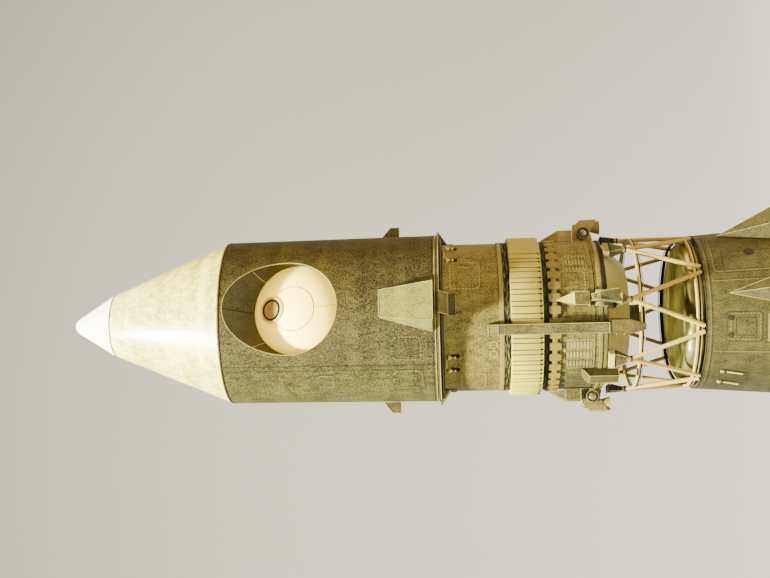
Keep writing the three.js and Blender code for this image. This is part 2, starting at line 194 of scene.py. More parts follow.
def panel_group():
    """Mask of a rounded panel outline printed on a tube, plain, stitched or filled with rows of dots."""
    group, given, out = new_group("panel_outline", {
        "Angle": (FLOAT, 0), "Height": (FLOAT, 0), "At angle": (FLOAT, 0), "At height": (FLOAT, 0),
        "Half width": (FLOAT, 4), "Half height": (FLOAT, 4), "Corner": (FLOAT, 1), "Tube radius": (FLOAT, 26),
        "Line": (FLOAT, 0.3), "Stitch": (FLOAT, 0.0), "Dots": (FLOAT, 0.0),
    }, {"Mask": FLOAT})
    get = given.outputs

    def of(operation, *values):
        return sums(group, operation, *values)

    turn = of("WRAP", of("SUBTRACT", get["Angle"], get["At angle"]), 180.0, -180.0)
    across = of("MULTIPLY", of("MULTIPLY", turn, math.pi / 180), get["Tube radius"])
    along = of("SUBTRACT", get["Height"], get["At height"])
    past_side = of("ADD", of("SUBTRACT", of("ABSOLUTE", across), get["Half width"]), get["Corner"])
    past_end = of("ADD", of("SUBTRACT", of("ABSOLUTE", along), get["Half height"]), get["Corner"])
    wide, high = of("MAXIMUM", past_side, 0.0), of("MAXIMUM", past_end, 0.0)
    corner = of("SQRT", of("MULTIPLY_ADD", wide, wide, of("MULTIPLY", high, high)))
    inner = of("MINIMUM", of("MAXIMUM", past_side, past_end), 0.0)
    away = of("SUBTRACT", of("ADD", corner, inner), get["Corner"])
    line = of("COMPARE", away, 0.0, of("MULTIPLY", get["Line"], 0.5))
    stitch = of("GREATER_THAN", of("SINE", of("MULTIPLY", of("ADD", across, along), 5.2)), -0.25)
    stitch = of("MAXIMUM", stitch, of("SUBTRACT", 1.0, get["Stitch"]))
    columns = of("COSINE", of("MULTIPLY", across, math.pi / 3.67))
    rows = of("SINE", of("MULTIPLY", along, math.pi / 1.1))
    dots = of("GREATER_THAN", of("ABSOLUTE", of("MULTIPLY", columns, rows)), 0.45)
    dots = of("MULTIPLY", of("MULTIPLY", dots, of("LESS_THAN", away, -0.3)), get["Dots"])
    group.links.new(of("MAXIMUM", of("MULTIPLY", line, stitch), dots), out.inputs["Mask"])
    return group


GRAIN = card_grain_group()
PLACE = tube_place_group()
PANEL = panel_group()


def tube_place(tree):
    """Azimuth and height of a point of an upright tube."""
    return node(tree, "ShaderNodeGroup", node_tree=PLACE).outputs


def tube_map_place(tree):
    """The same for a leaning tube, read from its map: u turns once round, v is the height in metres."""
    here = node(tree, "ShaderNodeSeparateXYZ", {0: node(tree, "ShaderNodeUVMap", uv_map="round").outputs[0]})
    return {"Angle": sums(tree, "MULTIPLY", here.outputs[0], 360.0),
            "Height": sums(tree, "MULTIPLY", here.outputs[1], 1000.0)}


def panel_mask(tree, place, radius, mark):
    """Mask of one printed mark, as the tables below give it."""
    azimuth, height, half_w, half_h, corner, line, kind = (*mark, "plain")[:7]
    return node(tree, "ShaderNodeGroup", {
        "Angle": place["Angle"], "Height": place["Height"], "At angle": azimuth, "At height": height,
        "Half width": half_w, "Half height": half_h, "Corner": corner, "Tube radius": radius, "Line": line,
        "Stitch": float(kind != "plain"), "Dots": float(kind == "dotted")}, node_tree=PANEL).outputs[0]


def marks_mask(tree, place, radius, marks):
    """All printed marks of a table as one mask."""
    mask = None
    for mark in marks:
        one = panel_mask(tree, place, radius, mark)
        mask = one if mask is None else sums(tree, "MAXIMUM", mask, one)
    return mask


def surface(tree, shader, colour, rough, height, bump, deep):
    """Gives a shader its colour and roughness, and a relief so strong and so deep in metres."""
    relief = node(tree, "ShaderNodeBump", {"Height": height, "Strength": bump, "Distance": deep})
    for label, value in (("Base Color", colour), ("Roughness", rough), ("Normal", relief.outputs[0])):
        feed(tree, shader.inputs[label], value)


def new_material(name):
    """A new material with its tree and its Principled BSDF."""
    material = bpy.data.materials.new(name)
    material.use_nodes = True
    tree = material.node_tree
    return material, tree, tree.nodes["Principled BSDF"]


DEEP_INK, PALE_LINE = (0.008, 0.0065, 0.0025, 1), (0.30, 0.26, 0.085, 1)


def printed_card(name, light, dark, specks=0.5, stains=0.4, radius=26.0, marks=(), pale_marks=(), pale=0.5,
                 bump=0.25, by_map=False, gloss=0.14, polish=0.0, low=None, painted_side_top=1000.0):
    """Matt card with a speckled print, and printed panel lines at azimuths and heights of its tube; low
    paints light and shade onto its -X side.
    """
    material, tree, shader = new_material(name)
    grain = node(tree, "ShaderNodeGroup", {
        "Light": (*light, 1), "Dark": (*dark, 1), "Speck amount": specks, "Stain amount": stains,
    }, node_tree=GRAIN)
    colour, height = grain.outputs["Colour"], grain.outputs["Height"]
    place = tube_map_place(tree) if by_map else tube_place(tree)
    if pale_marks:
        mask = marks_mask(tree, place, radius, pale_marks)
        shade = marks_mask(tree, place, radius, [(a + 0.9, z - 0.4, *rest) for a, z, *rest in pale_marks])
        colour = blend(tree, sums(tree, "MULTIPLY", shade, 0.45), colour, DEEP_INK)
        colour = blend(tree, sums(tree, "MULTIPLY", mask, pale), colour, PALE_LINE)
        height = sums(tree, "MULTIPLY_ADD", mask, 0.6, height)
    if marks:
        mask = marks_mask(tree, place, radius, marks)
        colour = blend(tree, sums(tree, "MULTIPLY", mask, 0.8), colour, DEEP_INK)
        height = sums(tree, "MULTIPLY_ADD", mask, -0.8, height)
    # Painted light and shade: low multiplies the colour on the -X side, most round azimuth -80, below a given
    # height.
    if low:
        away = sums(tree, "ABSOLUTE", sums(tree, "ADD", place["Angle"], 80.0))
        under = sums(tree, "LESS_THAN", place["Height"], painted_side_top)
        side = sums(tree, "MULTIPLY", ramp(tree, away, 48.0, 14.0), under)
        colour = blend(tree, side, colour, (*low, 1), "MULTIPLY")
    rough = sums(tree, "SUBTRACT", grain.outputs["Roughness"], polish)
    surface(tree, shader, colour, rough, height, bump, 0.00012)
    shader.inputs["Specular IOR Level"].default_value = gloss
    return material


# Printed marks: (azimuth, height, half width, half height, corner, line width), then the kind if not plain.


def round_lines(heights, line=0.4):
    """Printed lines round the whole tube."""
    return [(0.0, z, 200.0, 0.01, 0.0, line) for z in heights]


def upright_lines(azimuths, middle, half, line=0.3):
    """Printed lines along the tube, half so long to each side of their middle."""
    return [(a, middle, 0.01, half, 0.0, line) for a in azimuths]


FAIRING_MARKS = [
    *round_lines((639.4,), 0.35), *upright_lines((-42.2, -45.8, 135.0), 674, 36, 0.32),
    (-28.0, 652.9, 0.3, 0.3, 0.3, 0.5), (-35.2, 653.0, 0.3, 0.3, 0.3, 0.5),
    (-52.2, 652.8, 0.3, 0.3, 0.3, 0.5), (-56.0, 675.7, 3.3, 2.8, 0.8, 0.2),
    (-59.6, 652.8, 0.3, 0.3, 0.3, 0.5), (-30.2, 648.3, 3.4, 4.1, 1.5, 0.3, "stitched"),
    (180.0, 662, 6.0, 8.0, 2.0, 0.35), (150.0, 690, 4.0, 4.0, 3.9, 0.35), (105.0, 655, 4.5, 3.5, 1.2, 0.3),
]
FAIRING_PALE = [
    (-30.2, 648.3, 4.0, 4.7, 1.9, 0.35, "stitched"), (-55.4, 648.0, 4.1, 4.7, 1.9, 0.35, "stitched"),
    (-56.6, 675.7, 2.8, 2.7, 0.8, 0.28), (66.0, 670.4, 1.0, 1.0, 0.3, 0.4),
    (-78.5, 669.5, 0.8, 1.6, 0.3, 0.4), (150.0, 648.0, 3.2, 3.4, 1.6, 0.35, "stitched"),
]
TANK_MARKS = [
    (23.5, 628.5, 5.4, 4.9, 1.6, 0.42, "stitched"), (-69.0, 626.2, 4.9, 4.0, 1.4, 0.4, "stitched"),
    (-31.8, 619.6, 1.2, 1.2, 1.2, 0.3), (-39.2, 619.6, 1.2, 1.2, 1.2, 0.3),
    (140.0, 627.5, 5.4, 4.9, 1.6, 0.42, "stitched"), (-150.0, 626.5, 4.9, 4.0, 1.4, 0.4, "stitched"),
    (-41.5, 591.5, 5.5, 4.8, 0.8, 0.4, "dotted"), (33.0, 592.0, 3.7, 3.7, 0.8, 0.35, "dotted"),
    (15.5, 593.2, 3.8, 4.1, 1.2, 0.4, "stitched"), (-64.5, 592.0, 2.6, 3.6, 0.8, 0.4, "stitched"),
    (120.0, 591.8, 5.0, 4.4, 0.8, 0.4, "dotted"), (155.0, 592.0, 3.5, 3.7, 1.2, 0.4, "stitched"),
    (-120.0, 591.8, 5.0, 4.4, 0.8, 0.4, "dotted"), (-150.0, 592.0, 3.5, 3.7, 1.2, 0.4, "stitched"),
]
CORE_HEAD_MARKS = [
    (-14.8, 542.9, 0.5, 0.6, 0.5, 1.0), (-26.9, 542.9, 0.5, 0.6, 0.5, 1.0),
    (34.6, 534.9, 0.85, 1.0, 0.85, 1.5), (-21.2, 538.7, 5.0, 5.6, 0.9, 0.22),
    (27.0, 531.5, 4.4, 12.5, 0.5, 0.25), (-21.0, 538.2, 2.9, 3.2, 0.4, 0.3),
    (0.0, 548.6, 200.0, 0.01, 0.0, 0.25, "stitched"), (-110.0, 530.0, 7.0, 9.0, 2.0, 0.3),
]
CORE_HEAD_PALE = [
    *round_lines((549.3,), 0.32), *upright_lines((11.6, -39.5, 89.0, 200.0), 529, 19, 0.35),
    (37.0, 529.0, 8.6, 18.0, 1.2, 0.35), (-21.2, 538.4, 4.3, 4.6, 0.6, 0.55, "stitched"),
    (150.0, 536.0, 5.0, 4.0, 1.0, 0.4, "stitched"), (-150.0, 538.0, 4.3, 3.65, 0.8, 0.4, "stitched"),
]
CORE_MARKS = [
    *round_lines((503.4, 468.0, 466.6, 431.0, 402.0)), *upright_lines((20.0, 110.0, 200.0, 290.0), 452, 52),
    (0.0, 486.0, 6.0, 7.5, 2.0, 0.4, "stitched"), (65.0, 449.0, 5.0, 6.0, 1.5, 0.35),
    (155.0, 486.0, 6.0, 7.5, 2.0, 0.4, "stitched"), (-65.0, 449.0, 5.0, 6.0, 4.0, 0.35),
    (-120.0, 484.0, 4.0, 4.0, 4.0, 0.35),
]
CORE_LOW_MARKS = [
    *round_lines((390.0, 352.0, 350.4, 296.0, 240.0, 180.0, 178.6, 120.0, 60.0, 24.0)),
    *upright_lines((0.0, 90.0, 180.0, 270.0), 300, 290),
    (0.0, 370.0, 6.0, 7.5, 2.0, 0.4, "stitched"), (90.0, 330.0, 5.0, 6.0, 1.5, 0.35, "stitched"),
]
BOOSTER_MARKS = [
    *round_lines((372.0, 318.0, 316.6, 262.0, 206.0, 204.6, 150.0, 96.0, 94.6, 56.0, 46.0, 24.0)),
    *upright_lines((30.0, 120.0, 210.0, 300.0), 200, 190),
    (0.0, 178.0, 5.5, 8.0, 2.0, 0.4, "stitched"), (75.0, 122.0, 5.0, 6.0, 1.5, 0.35, "stitched"),
    (-75.0, 122.0, 5.0, 6.0, 5.0, 0.35), (0.0, 74.0, 6.0, 8.0, 1.5, 0.4),
    (150.0, 230.0, 4.0, 8.0, 1.5, 0.35), (60.0, 34.0, 5.0, 5.0, 1.2, 0.35, "stitched"),
]

# Cards: the light and the dark of the print, then the shares of specks and stains.

OLIVE, OLIVE_INK = (0.082, 0.069, 0.017), (0.0043, 0.0036, 0.0013)
PALE, PALE_INK = (0.189, 0.169, 0.0321), (0.0357, 0.03, 0.0071)
TAN, TAN_INK = (0.179, 0.143, 0.0321), (0.0857, 0.0643, 0.0129)

# The fairing is painted lighter on its -X side (painted light), the tank below 600 mm darker there (painted
# shade).
fairing_card = printed_card("fairing_card", (0.085, 0.072, 0.0175), OLIVE_INK, 0.85, 0.4, radius=28.7,
                            marks=FAIRING_MARKS, pale_marks=FAIRING_PALE, pale=0.2, low=(1.25, 1.35, 1.4))
tank_card = printed_card("tank_card", (0.184, 0.147, 0.028), OLIVE_INK, specks=0.58, radius=25.6,
                         pale_marks=TANK_MARKS, pale=0.5, low=(0.45, 0.5, 0.9), painted_side_top=600.0)
# The core head is painted darker on its -X side: painted shade.
head_card = printed_card("core_head_card", OLIVE, OLIVE_INK, radius=27.2, marks=CORE_HEAD_MARKS,
                         pale_marks=CORE_HEAD_PALE, pale=0.16, low=(0.6, 0.64, 0.9))
core_card = printed_card("core_card", OLIVE, OLIVE_INK, radius=29.5, marks=CORE_MARKS)
core_low_card = printed_card("core_low_card", OLIVE, OLIVE_INK, radius=22.0, marks=CORE_LOW_MARKS)
booster_card = printed_card("booster_card", OLIVE, OLIVE_INK, radius=20.0, marks=BOOSTER_MARKS, by_map=True)
plain_card = printed_card("plain_olive_card", OLIVE, OLIVE_INK)
pale_card = printed_card("pale_card", PALE, PALE_INK, 0.6, 0.3)
mid_card = printed_card("mid_card", (0.12, 0.1, 0.0257), (0.0114, 0.0093, 0.0029), 0.6, 0.45)
wedge_card = printed_card("wedge_card", (0.058, 0.05, 0.0135), (0.0065, 0.0055, 0.0018), 0.7, 0.3)
cone_card = printed_card("nose_cone_card", (0.86, 0.86, 0.16), (0.20, 0.205, 0.03), 0.6, 0.6, radius=18,
                         gloss=0.5, polish=0.28)
white_card = printed_card("white_card", (0.94, 0.94, 0.84), (0.66, 0.66, 0.50), 0.1, 0.12)
# The ribbed band's card is painted lighter on its -X side: painted light.
cream_card = printed_card("cream_card", (0.29, 0.24, 0.034), (0.136, 0.1, 0.0157), 0.12, 0.25,
                          low=(1.5, 1.6, 0.8))
strut_card = printed_card("strut_card", (0.357, 0.268, 0.0557), (0.193, 0.136, 0.0271), 0.08, 0.2)
shaded_strut_card = printed_card("shaded_strut_card", (0.30, 0.205, 0.036), (0.164, 0.107, 0.019), 0.1, 0.25)
far_shade_and_ferrule_card = printed_card("far_shade_and_ferrule_card", (0.207, 0.154, 0.0321), (0.107, 0.075, 0.0143), 0.1, 0.3)
tan_card = printed_card("tan_card", TAN, TAN_INK, 0.12, 0.3)
tooth_card = printed_card("tooth_card", (0.146, 0.111, 0.02), (0.0786, 0.0557, 0.0093), 0.15, 0.3)
unit_card = printed_card("unit_card", (0.0893, 0.0771, 0.0243), (0.0071, 0.0057, 0.0021), 0.6, 0.5)
side_unit_card = printed_card("side_unit_card", (0.13, 0.114, 0.035), (0.013, 0.0107, 0.0036), 0.5, 0.4)
painted_warm_light_unit_card = printed_card("painted_warm_light_unit_card", (0.30, 0.23, 0.062), (0.07, 0.05, 0.013), 0.4, 0.4)
groove_card = printed_card("groove_card", (0.1, 0.0714, 0.0157), (0.0429, 0.03, 0.0064), 0.3, 0.5)
brown_card = printed_card("brown_card", (0.105, 0.078, 0.0165), (0.0114, 0.0086, 0.0021), 0.5, 0.4)
plate_card = printed_card("plate_card", (0.4, 0.35, 0.129), (0.25, 0.207, 0.0643), 0.1, 0.15)
side_painted_shade_card = printed_card("box_side_card", (0.15, 0.143, 0.0371), (0.0357, 0.0336, 0.0086), 0.5, 0.35)
shade_card = printed_card("box_shade_card", (0.0571, 0.0429, 0.0107), (0.0071, 0.0057, 0.0014))
edge_card = printed_card("cut_card_edge", (0.3, 0.254, 0.0714), (0.121, 0.0964, 0.025), 0.3, 0.35)
line_card = printed_card("dim_card_edge", (0.0964, 0.075, 0.0157), (0.0286, 0.0214, 0.005), 0.3, 0.4)
capsule_card = printed_card("capsule_card", (0.97, 0.91, 0.14), (0.88, 0.79, 0.10), 0.05, 0.12, bump=0.1,
                            gloss=0.5, polish=0.1)
tunnel_card = printed_card("tunnel_card", (0.05, 0.0407, 0.0129), (0.0057, 0.0046, 0.0014), 0.55, 0.35)
dark_card = printed_card("dark_card", (0.0086, 0.0068, 0.0029), (0.0021, 0.0019, 0.00086), 0.4, 0.4,
                         gloss=0.08)
ball_card = printed_card("ball_card", (0.1, 0.0857, 0.0357), (0.0571, 0.0464, 0.0143), 0.1, 0.2, gloss=0.7,
                         polish=0.34)


def split_card(name, right, left):
    """Card (light, dark) in one tone right of the hatch side's middle and in another left of it, where the
    key light falls.
    """
    material = printed_card(name, *right, 0.3, 0.3)
    tree = material.node_tree
    grain = next(n for n in tree.nodes if n.type == "GROUP" and n.node_tree == GRAIN)
    on_left = sums(tree, "LESS_THAN", tube_place(tree)["Angle"], -4.0)
    for label, a, b in zip(("Light", "Dark"), right, left):
        tree.links.new(blend(tree, on_left, (*a, 1), (*b, 1)), grain.inputs[label])
    return material


def ink_band(name, scribble):
    """Dark band with pale scribbles that run round the tube."""
    material, tree, shader = new_material(name)
    place = tube_place(tree)
    spread = node(tree, "ShaderNodeCombineXYZ", {
        "X": sums(tree, "MULTIPLY", place["Angle"], 0.07), "Y": sums(tree, "MULTIPLY", place["Height"], 2.6)})
    waves = noise(tree, spread.outputs[0], 1.6, detail=2.0, roughness=0.6, distortion=0.25)
    lines = ramp(tree, waves, 0.54, 0.62)
    colour = blend(tree, lines, (0.005, 0.0042, 0.0015, 1), (*scribble, 1))
    surface(tree, shader, colour, 0.6, lines, 0.3, 0.0001)
    shader.inputs["Specular IOR Level"].default_value = 0.1
    return material


def foil(name, colour, stain_and_reflection_tone, dents, rough=0.3, dent_scale=38.0, stain_and_reflection_scale=85.0):
    """Crumpled foil: soft dents, and darker brownish patches between the bright places, partly stains and
    partly painted reflection.
    """
    material, tree, shader = new_material(name)
    here = node(tree, "ShaderNodeTexCoord").outputs["Object"]
    # The darker brownish patches are partly stains and partly painted reflection.
    stain = noise(tree, here, stain_and_reflection_scale, detail=5.0, roughness=0.6)
    tone = blend(tree, ramp(tree, stain, 0.40, 0.62), (*colour, 1), (*stain_and_reflection_tone, 1))
    height = sums(tree, "MULTIPLY_ADD", noise(tree, here, 1300.0, detail=2.0), 0.01,
                  noise(tree, here, dent_scale, detail=1.5, distortion=0.4))
    surface(tree, shader, tone, sums(tree, "MULTIPLY_ADD", stain, 0.30, rough - 0.12), height, dents, 0.004)
    shader.inputs["Metallic"].default_value = 0.9
    shader.inputs["Specular Tint"].default_value = (0.5, 0.44, 0.15, 1)
    return material


dish_foil = foil("dish_foil", (0.40, 0.38, 0.15), (0.08, 0.065, 0.016), 1.0, 0.33, 62.0, 60.0)
fitting_metal = foil("fitting_foil", (0.143, 0.111, 0.043), (0.072, 0.047, 0.013), 0.1)

# Mesh short-hands, in millimetres.


def in_mesh(name, points, faces, sharp=32.0):
    """A mesh in metres from millimetre points, turned outwards and smooth except at its sharp edges."""
    mesh = bpy.data.meshes.new(name)
    mesh.from_pydata([tuple(c * MM for c in p) for p in points], [], faces)
    shape = bmesh.new()
    shape.from_mesh(mesh)
    bmesh.ops.recalc_face_normals(shape, faces=shape.faces)
    shape.to_mesh(mesh)
    shape.free()
    mesh.shade_smooth()
    mesh.set_sharp_from_angle(angle=math.radians(sharp))
    return mesh


def piece(name, mesh, material, replaces=(), slot=None):
    """Puts a finished mesh into the scene: it rides on the rocket and may stand for CAD nodes."""
    made = bpy.data.objects.new(name, mesh)
    bpy.context.scene.collection.objects.link(made)
    mesh.materials.clear()
    mesh.materials.append(material)
    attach(made, "root")
    if replaces:
        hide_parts(*replaces)
    return made


def turned_mesh(name, profile, segments=192, sharp=32.0, lean=None, mapped=False):
    """A closed (radius, height) profile turned about the upright axis; lean shifts each height towards -Y."""
    points, rings = [], []
    for r, z in profile:
        start = len(points)
        out = lean(z) if lean else 0.0
        count = 1 if r < 1e-6 else segments
        for i in range(count):
            a = 2 * math.pi * i / segments
            points.append((r * math.sin(a), -r * math.cos(a) - out, z))
        rings.append((start, count))
    faces = []
    for (a, count_a), (b, count_b) in zip(rings, rings[1:] + rings[:1]):
        if count_a == count_b == 1:
            continue
        for i in range(segments):
            j = (i + 1) % segments
            if count_a == 1:
                faces.append((a, b + j, b + i))
            elif count_b == 1:
                faces.append((a + i, a + j, b))
            else:
                faces.append((a + i, a + j, b + j, b + i))
    mesh = in_mesh(name, points, faces, sharp)
    if mapped:
        around = mesh.uv_layers.new(name="round")
        for face in mesh.polygons:
            corners = [mesh.vertices[v].co for v in face.vertices]
            turns = [math.atan2(x, -y - (lean(z / MM) * MM if lean else 0)) / (2 * math.pi) % 1.0
                     for x, y, z in corners]
            wraps = max(turns) - min(turns) > 0.5
            for loop, u in zip(face.loop_indices, turns):
                z = mesh.vertices[mesh.loops[loop].vertex_index].co.z
                around.data[loop].uv = (u + 1.0 if wraps and u < 0.5 else u, z)
    return mesh


def turned(name, profile, material, cad=None, slot=None, **shape):
    """A turned piece, which may stand for a CAD node."""
    return piece(name, turned_mesh(name, profile, **shape), material, [cad] if cad else (), slot)


def prism(name, ends, sharp):
    """A mesh between two outlines of as many points."""
    n = len(ends[0])
    faces = [tuple(range(n)), tuple(range(2 * n - 1, n - 1, -1))]
    faces += [(i, (i + 1) % n, n + (i + 1) % n, n + i) for i in range(n)]
    return in_mesh(name, [*ends[0], *ends[1]], faces, sharp)


def side_plate_mesh(name, outline, width):
    """A flat (outward, height) outline given a width across, on the hatch side."""
    return prism(name, [[(x, -r, z) for r, z in outline] for x in (-width / 2, width / 2)], 20)


def tapered_mesh(name, *stations):
    """A box that narrows from one (half width, inner, outer, height) to the next, on the hatch side."""
    points, faces = [], []
    for w, inner, outer, z in stations:
        points += [(-w, -inner, z), (w, -inner, z), (w, -outer, z), (-w, -outer, z)]
    last = 4 * (len(stations) - 1)
    for a in range(0, last, 4):
        faces += [(a + i, a + (i + 1) % 4, a + 4 + (i + 1) % 4, a + 4 + i) for i in range(4)]
    faces += [(0, 1, 2, 3), (last, last + 1, last + 2, last + 3)]
    return in_mesh(name, points, faces, 20)


def shift(x, y, z):
    """A move in millimetres."""
    return Matrix.Translation(Vector((x, y, z)) * MM)


def turn(degrees, axis="Z"):
    """A turn about an axis."""
    return Matrix.Rotation(math.radians(degrees), 4, axis)


def spun_on_side(name, profile, at, tilt=0.0, segments=48):
    """A closed (radius, outward) profile turned about the hatch side's outward axis, tilted to the nose."""
    mesh = turned_mesh(name, profile, segments)
    mesh.transform(shift(*at) @ turn(90 - tilt, "X"))
    return mesh


def copies_at(name, source, places):
    """Copies of a mesh moved to places, as one mesh."""
    shape = bmesh.new()
    for place in places:
        copy = source.copy()
        copy.transform(place)
        shape.from_mesh(copy)
    whole = bpy.data.meshes.new(name)
    shape.to_mesh(whole)
    shape.free()
    return whole


# Geometry node trees.


def tree_start(name, inputs):
    """A Geometry Nodes tree with its input sockets, {label: (kind, default)}, and one for the material."""
    tree = bpy.data.node_groups.new(name, "GeometryNodeTree")
    for label, (kind, default) in {**inputs, "Material": ("NodeSocketMaterial", None)}.items():
        socket = tree.interface.new_socket(label, in_out="INPUT", socket_type=kind)
        if default is not None:
            socket.default_value = default
    tree.interface.new_socket("Geometry", in_out="OUTPUT", socket_type="NodeSocketGeometry")
    return tree, tree.nodes.new("NodeGroupInput").outputs, tree.nodes.new("NodeGroupOutput").inputs


def tree_end(tree, geometry, given, out):
    """Every tree ends in Realize Instances and Set Material."""
    whole = node(tree, "GeometryNodeRealizeInstances", {"Geometry": geometry})
    dressed = node(tree, "GeometryNodeSetMaterial",
                   {"Geometry": whole.outputs[0], "Material": given["Material"]})
    tree.links.new(dressed.outputs[0], out["Geometry"])


def round_body_tree():
    """Copies of a piece round the upright axis: so many, with a turn between them, from a start."""
    tree, given, out = tree_start("pieces_round_body", {
        "Piece": (OBJECT, None), "Count": (WHOLE, 4), "Turn": (FLOAT, 0.0), "Start": (FLOAT, 0.0)})
    source = node(tree, "GeometryNodeObjectInfo", {"Object": given["Piece"]})
    index = node(tree, "GeometryNodeInputIndex").outputs[0]
    points = node(tree, "GeometryNodePoints", {"Count": given["Count"]})
    angle = sums(tree, "MULTIPLY_ADD", index, given["Turn"], given["Start"])
    spin = node(tree, "ShaderNodeCombineXYZ", {"Z": angle})
    copies = node(tree, "GeometryNodeInstanceOnPoints", {
        "Points": points.outputs[0], "Instance": source.outputs["Geometry"],
        "Rotation": node(tree, "FunctionNodeEulerToRotation", {0: spin.outputs[0]}).outputs[0]})
    tree_end(tree, copies.outputs[0], given, out)
    return tree


def bars_tree():
    """Round bars along the lines of a mesh, closed at their ends."""
    tree, given, out = tree_start("bars_on_lines", {
        "Lines": (OBJECT, None), "Radius": (FLOAT, 0.001), "Sides": (WHOLE, 16)})
    source = node(tree, "GeometryNodeObjectInfo", {"Object": given["Lines"]})
    curve = node(tree, "GeometryNodeMeshToCurve", {0: source.outputs["Geometry"]})
    ring = node(tree, "GeometryNodeCurvePrimitiveCircle",
                {"Resolution": given["Sides"], "Radius": given["Radius"]})
    rods = node(tree, "GeometryNodeCurveToMesh",
                {"Curve": curve.outputs[0], "Profile Curve": ring.outputs[0], "Fill Caps": True})
    tree_end(tree, rods.outputs[0], given, out)
    return tree


def on_points_tree():
    """A copy of a piece at every point of a mesh."""
    tree, given, out = tree_start("pieces_on_points", {"Piece": (OBJECT, None), "Places": (OBJECT, None)})
    source = node(tree, "GeometryNodeObjectInfo", {"Object": given["Piece"]})
    places = node(tree, "GeometryNodeObjectInfo", {"Object": given["Places"]})
    copies = node(tree, "GeometryNodeInstanceOnPoints",
                  {"Points": places.outputs["Geometry"], "Instance": source.outputs["Geometry"]})
    tree_end(tree, copies.outputs[0], given, out)
    return tree


ROUND_BODY = round_body_tree()
BARS = bars_tree()
ON_POINTS = on_points_tree()


def grown_mesh(name, tree, values, material):
    """A plain mesh made by a tree, whose inputs are set by socket identifier."""
    holder = bpy.data.objects.new(name + "_source", bpy.data.meshes.new(name))
    bpy.context.scene.collection.objects.link(holder)
    modifier = holder.modifiers.new("tree", "NODES")
    modifier.node_group = tree
    sockets = {s.name: s.identifier for s in tree.interface.items_tree if s.in_out == "INPUT"}
    helpers = []
    for label, value in {**values, "Material": material}.items():
        if isinstance(value, bpy.types.Mesh):
            value = bpy.data.objects.new(name + "_" + label.lower(), value)
            bpy.context.scene.collection.objects.link(value)
            helpers.append(value)
        modifier[sockets[label]] = value
    holder.update_tag()
    graph = bpy.context.evaluated_depsgraph_get()
    mesh = bpy.data.meshes.new_from_object(holder.evaluated_get(graph))
    mesh.name = name
    for unused in [holder, *helpers]:
        bpy.data.objects.remove(unused)
    mesh.shade_smooth()
    mesh.set_sharp_from_angle(angle=math.radians(32))
    return mesh


def grown(name, tree, values, material, **kwargs):
    """A piece made by a tree."""
    return piece(name, grown_mesh(name, tree, values, material), material, **kwargs)


def ring_of(name, source, material, count, start=0.0, whole=None, **kwargs):
    """Copies of a mesh spaced evenly round the rocket, or round a part of the whole turn."""
    step = 2 * math.pi / (whole or count)
    values = {"Piece": source, "Count": count, "Turn": step, "Start": math.radians(start)}
    return grown(name, ROUND_BODY, values, material, **kwargs)


def line_mesh(name, *paths, closed=False):
    """Lines through millimetre points, for bars to follow."""
    points, edges = [], []
    for path in paths:
        start = len(points)
        points += [tuple(c * MM for c in p) for p in path]
        edges += [(start + i, start + i + 1) for i in range(len(path) - 1)]
        if closed:
            edges.append((len(points) - 1, start))
    mesh = bpy.data.meshes.new(name)
    mesh.from_pydata(points, edges, [])
    return mesh


def bar_mesh(name, paths, radius, material, closed=False, sides=6):
    """The mesh of round bars or beads along millimetre paths."""
    lines = line_mesh(name, *paths, closed=closed)
    return grown_mesh(name, BARS, {"Lines": lines, "Radius": radius * MM, "Sides": sides}, material)


def bars(name, paths, radius, material, closed=False, sides=6, **kwargs):
    """Round bars or beads along millimetre paths."""
    return piece(name, bar_mesh(name, paths, radius, material, closed, sides), material, **kwargs)


def polar(r, azimuth, z):
    """A millimetre point at a radius, azimuth in degrees and height."""
    a = math.radians(azimuth)
    return (r * math.sin(a), -r * math.cos(a), z)


def hoops(name, rings, radius, material, sides=12):
    """Beads round the rocket, at each (radius, height)."""
    paths = [[polar(r, 2 * i, z) for i in range(180)] for r, z in rings]
    return bars(name, paths, radius, material, closed=True, sides=sides)


# Nose and fairing.

turned("nose_tip_card", [
    (0, 752.15), (10.9, 752.15), (11.0, 752.35), (3.5, 764.3), (3.0, 765.2), (2.2, 766.2), (1.1, 766.95),
    (0, 767.2),
], white_card, "nose_tip", "white", sharp=40)
turned("nose_cone_card", [
    (0, 710.35), (28.0, 710.35), (28.15, 710.7), (11.15, 751.7), (11.0, 751.85), (0, 751.85),
], cone_card, "nose_cone", "pale")
hoops("nose_cone_edge", [(28.08, 710.75)], 0.17, edge_card)
hoops("nose_cone_joint", [(28.2, 710.2)], 0.22, dark_card)
hoops("nose_tip_joint", [(10.97, NOSE_JOINT)], 0.12, dark_card)


def hatch_path(grow=0.0, steps=120):
    """The egg-shaped hatch as (across, height)."""
    path = []
    for i in range(steps):
        t = 2 * math.pi * i / steps
        reach = HATCH["up"] if math.cos(t) > 0 else HATCH["down"]
        path.append(((HATCH["half"] + grow) * math.sin(t), HATCH["z"] + (reach + grow) * math.cos(t)))
    return path


def shell_radius(z):
    """Outer radius of the fairing at a height."""
    part = (SHELL["top"] - z) / (SHELL["top"] - SHELL["foot"])
    return SHELL["r_top"] + (SHELL["r_foot"] - SHELL["r_top"]) * part


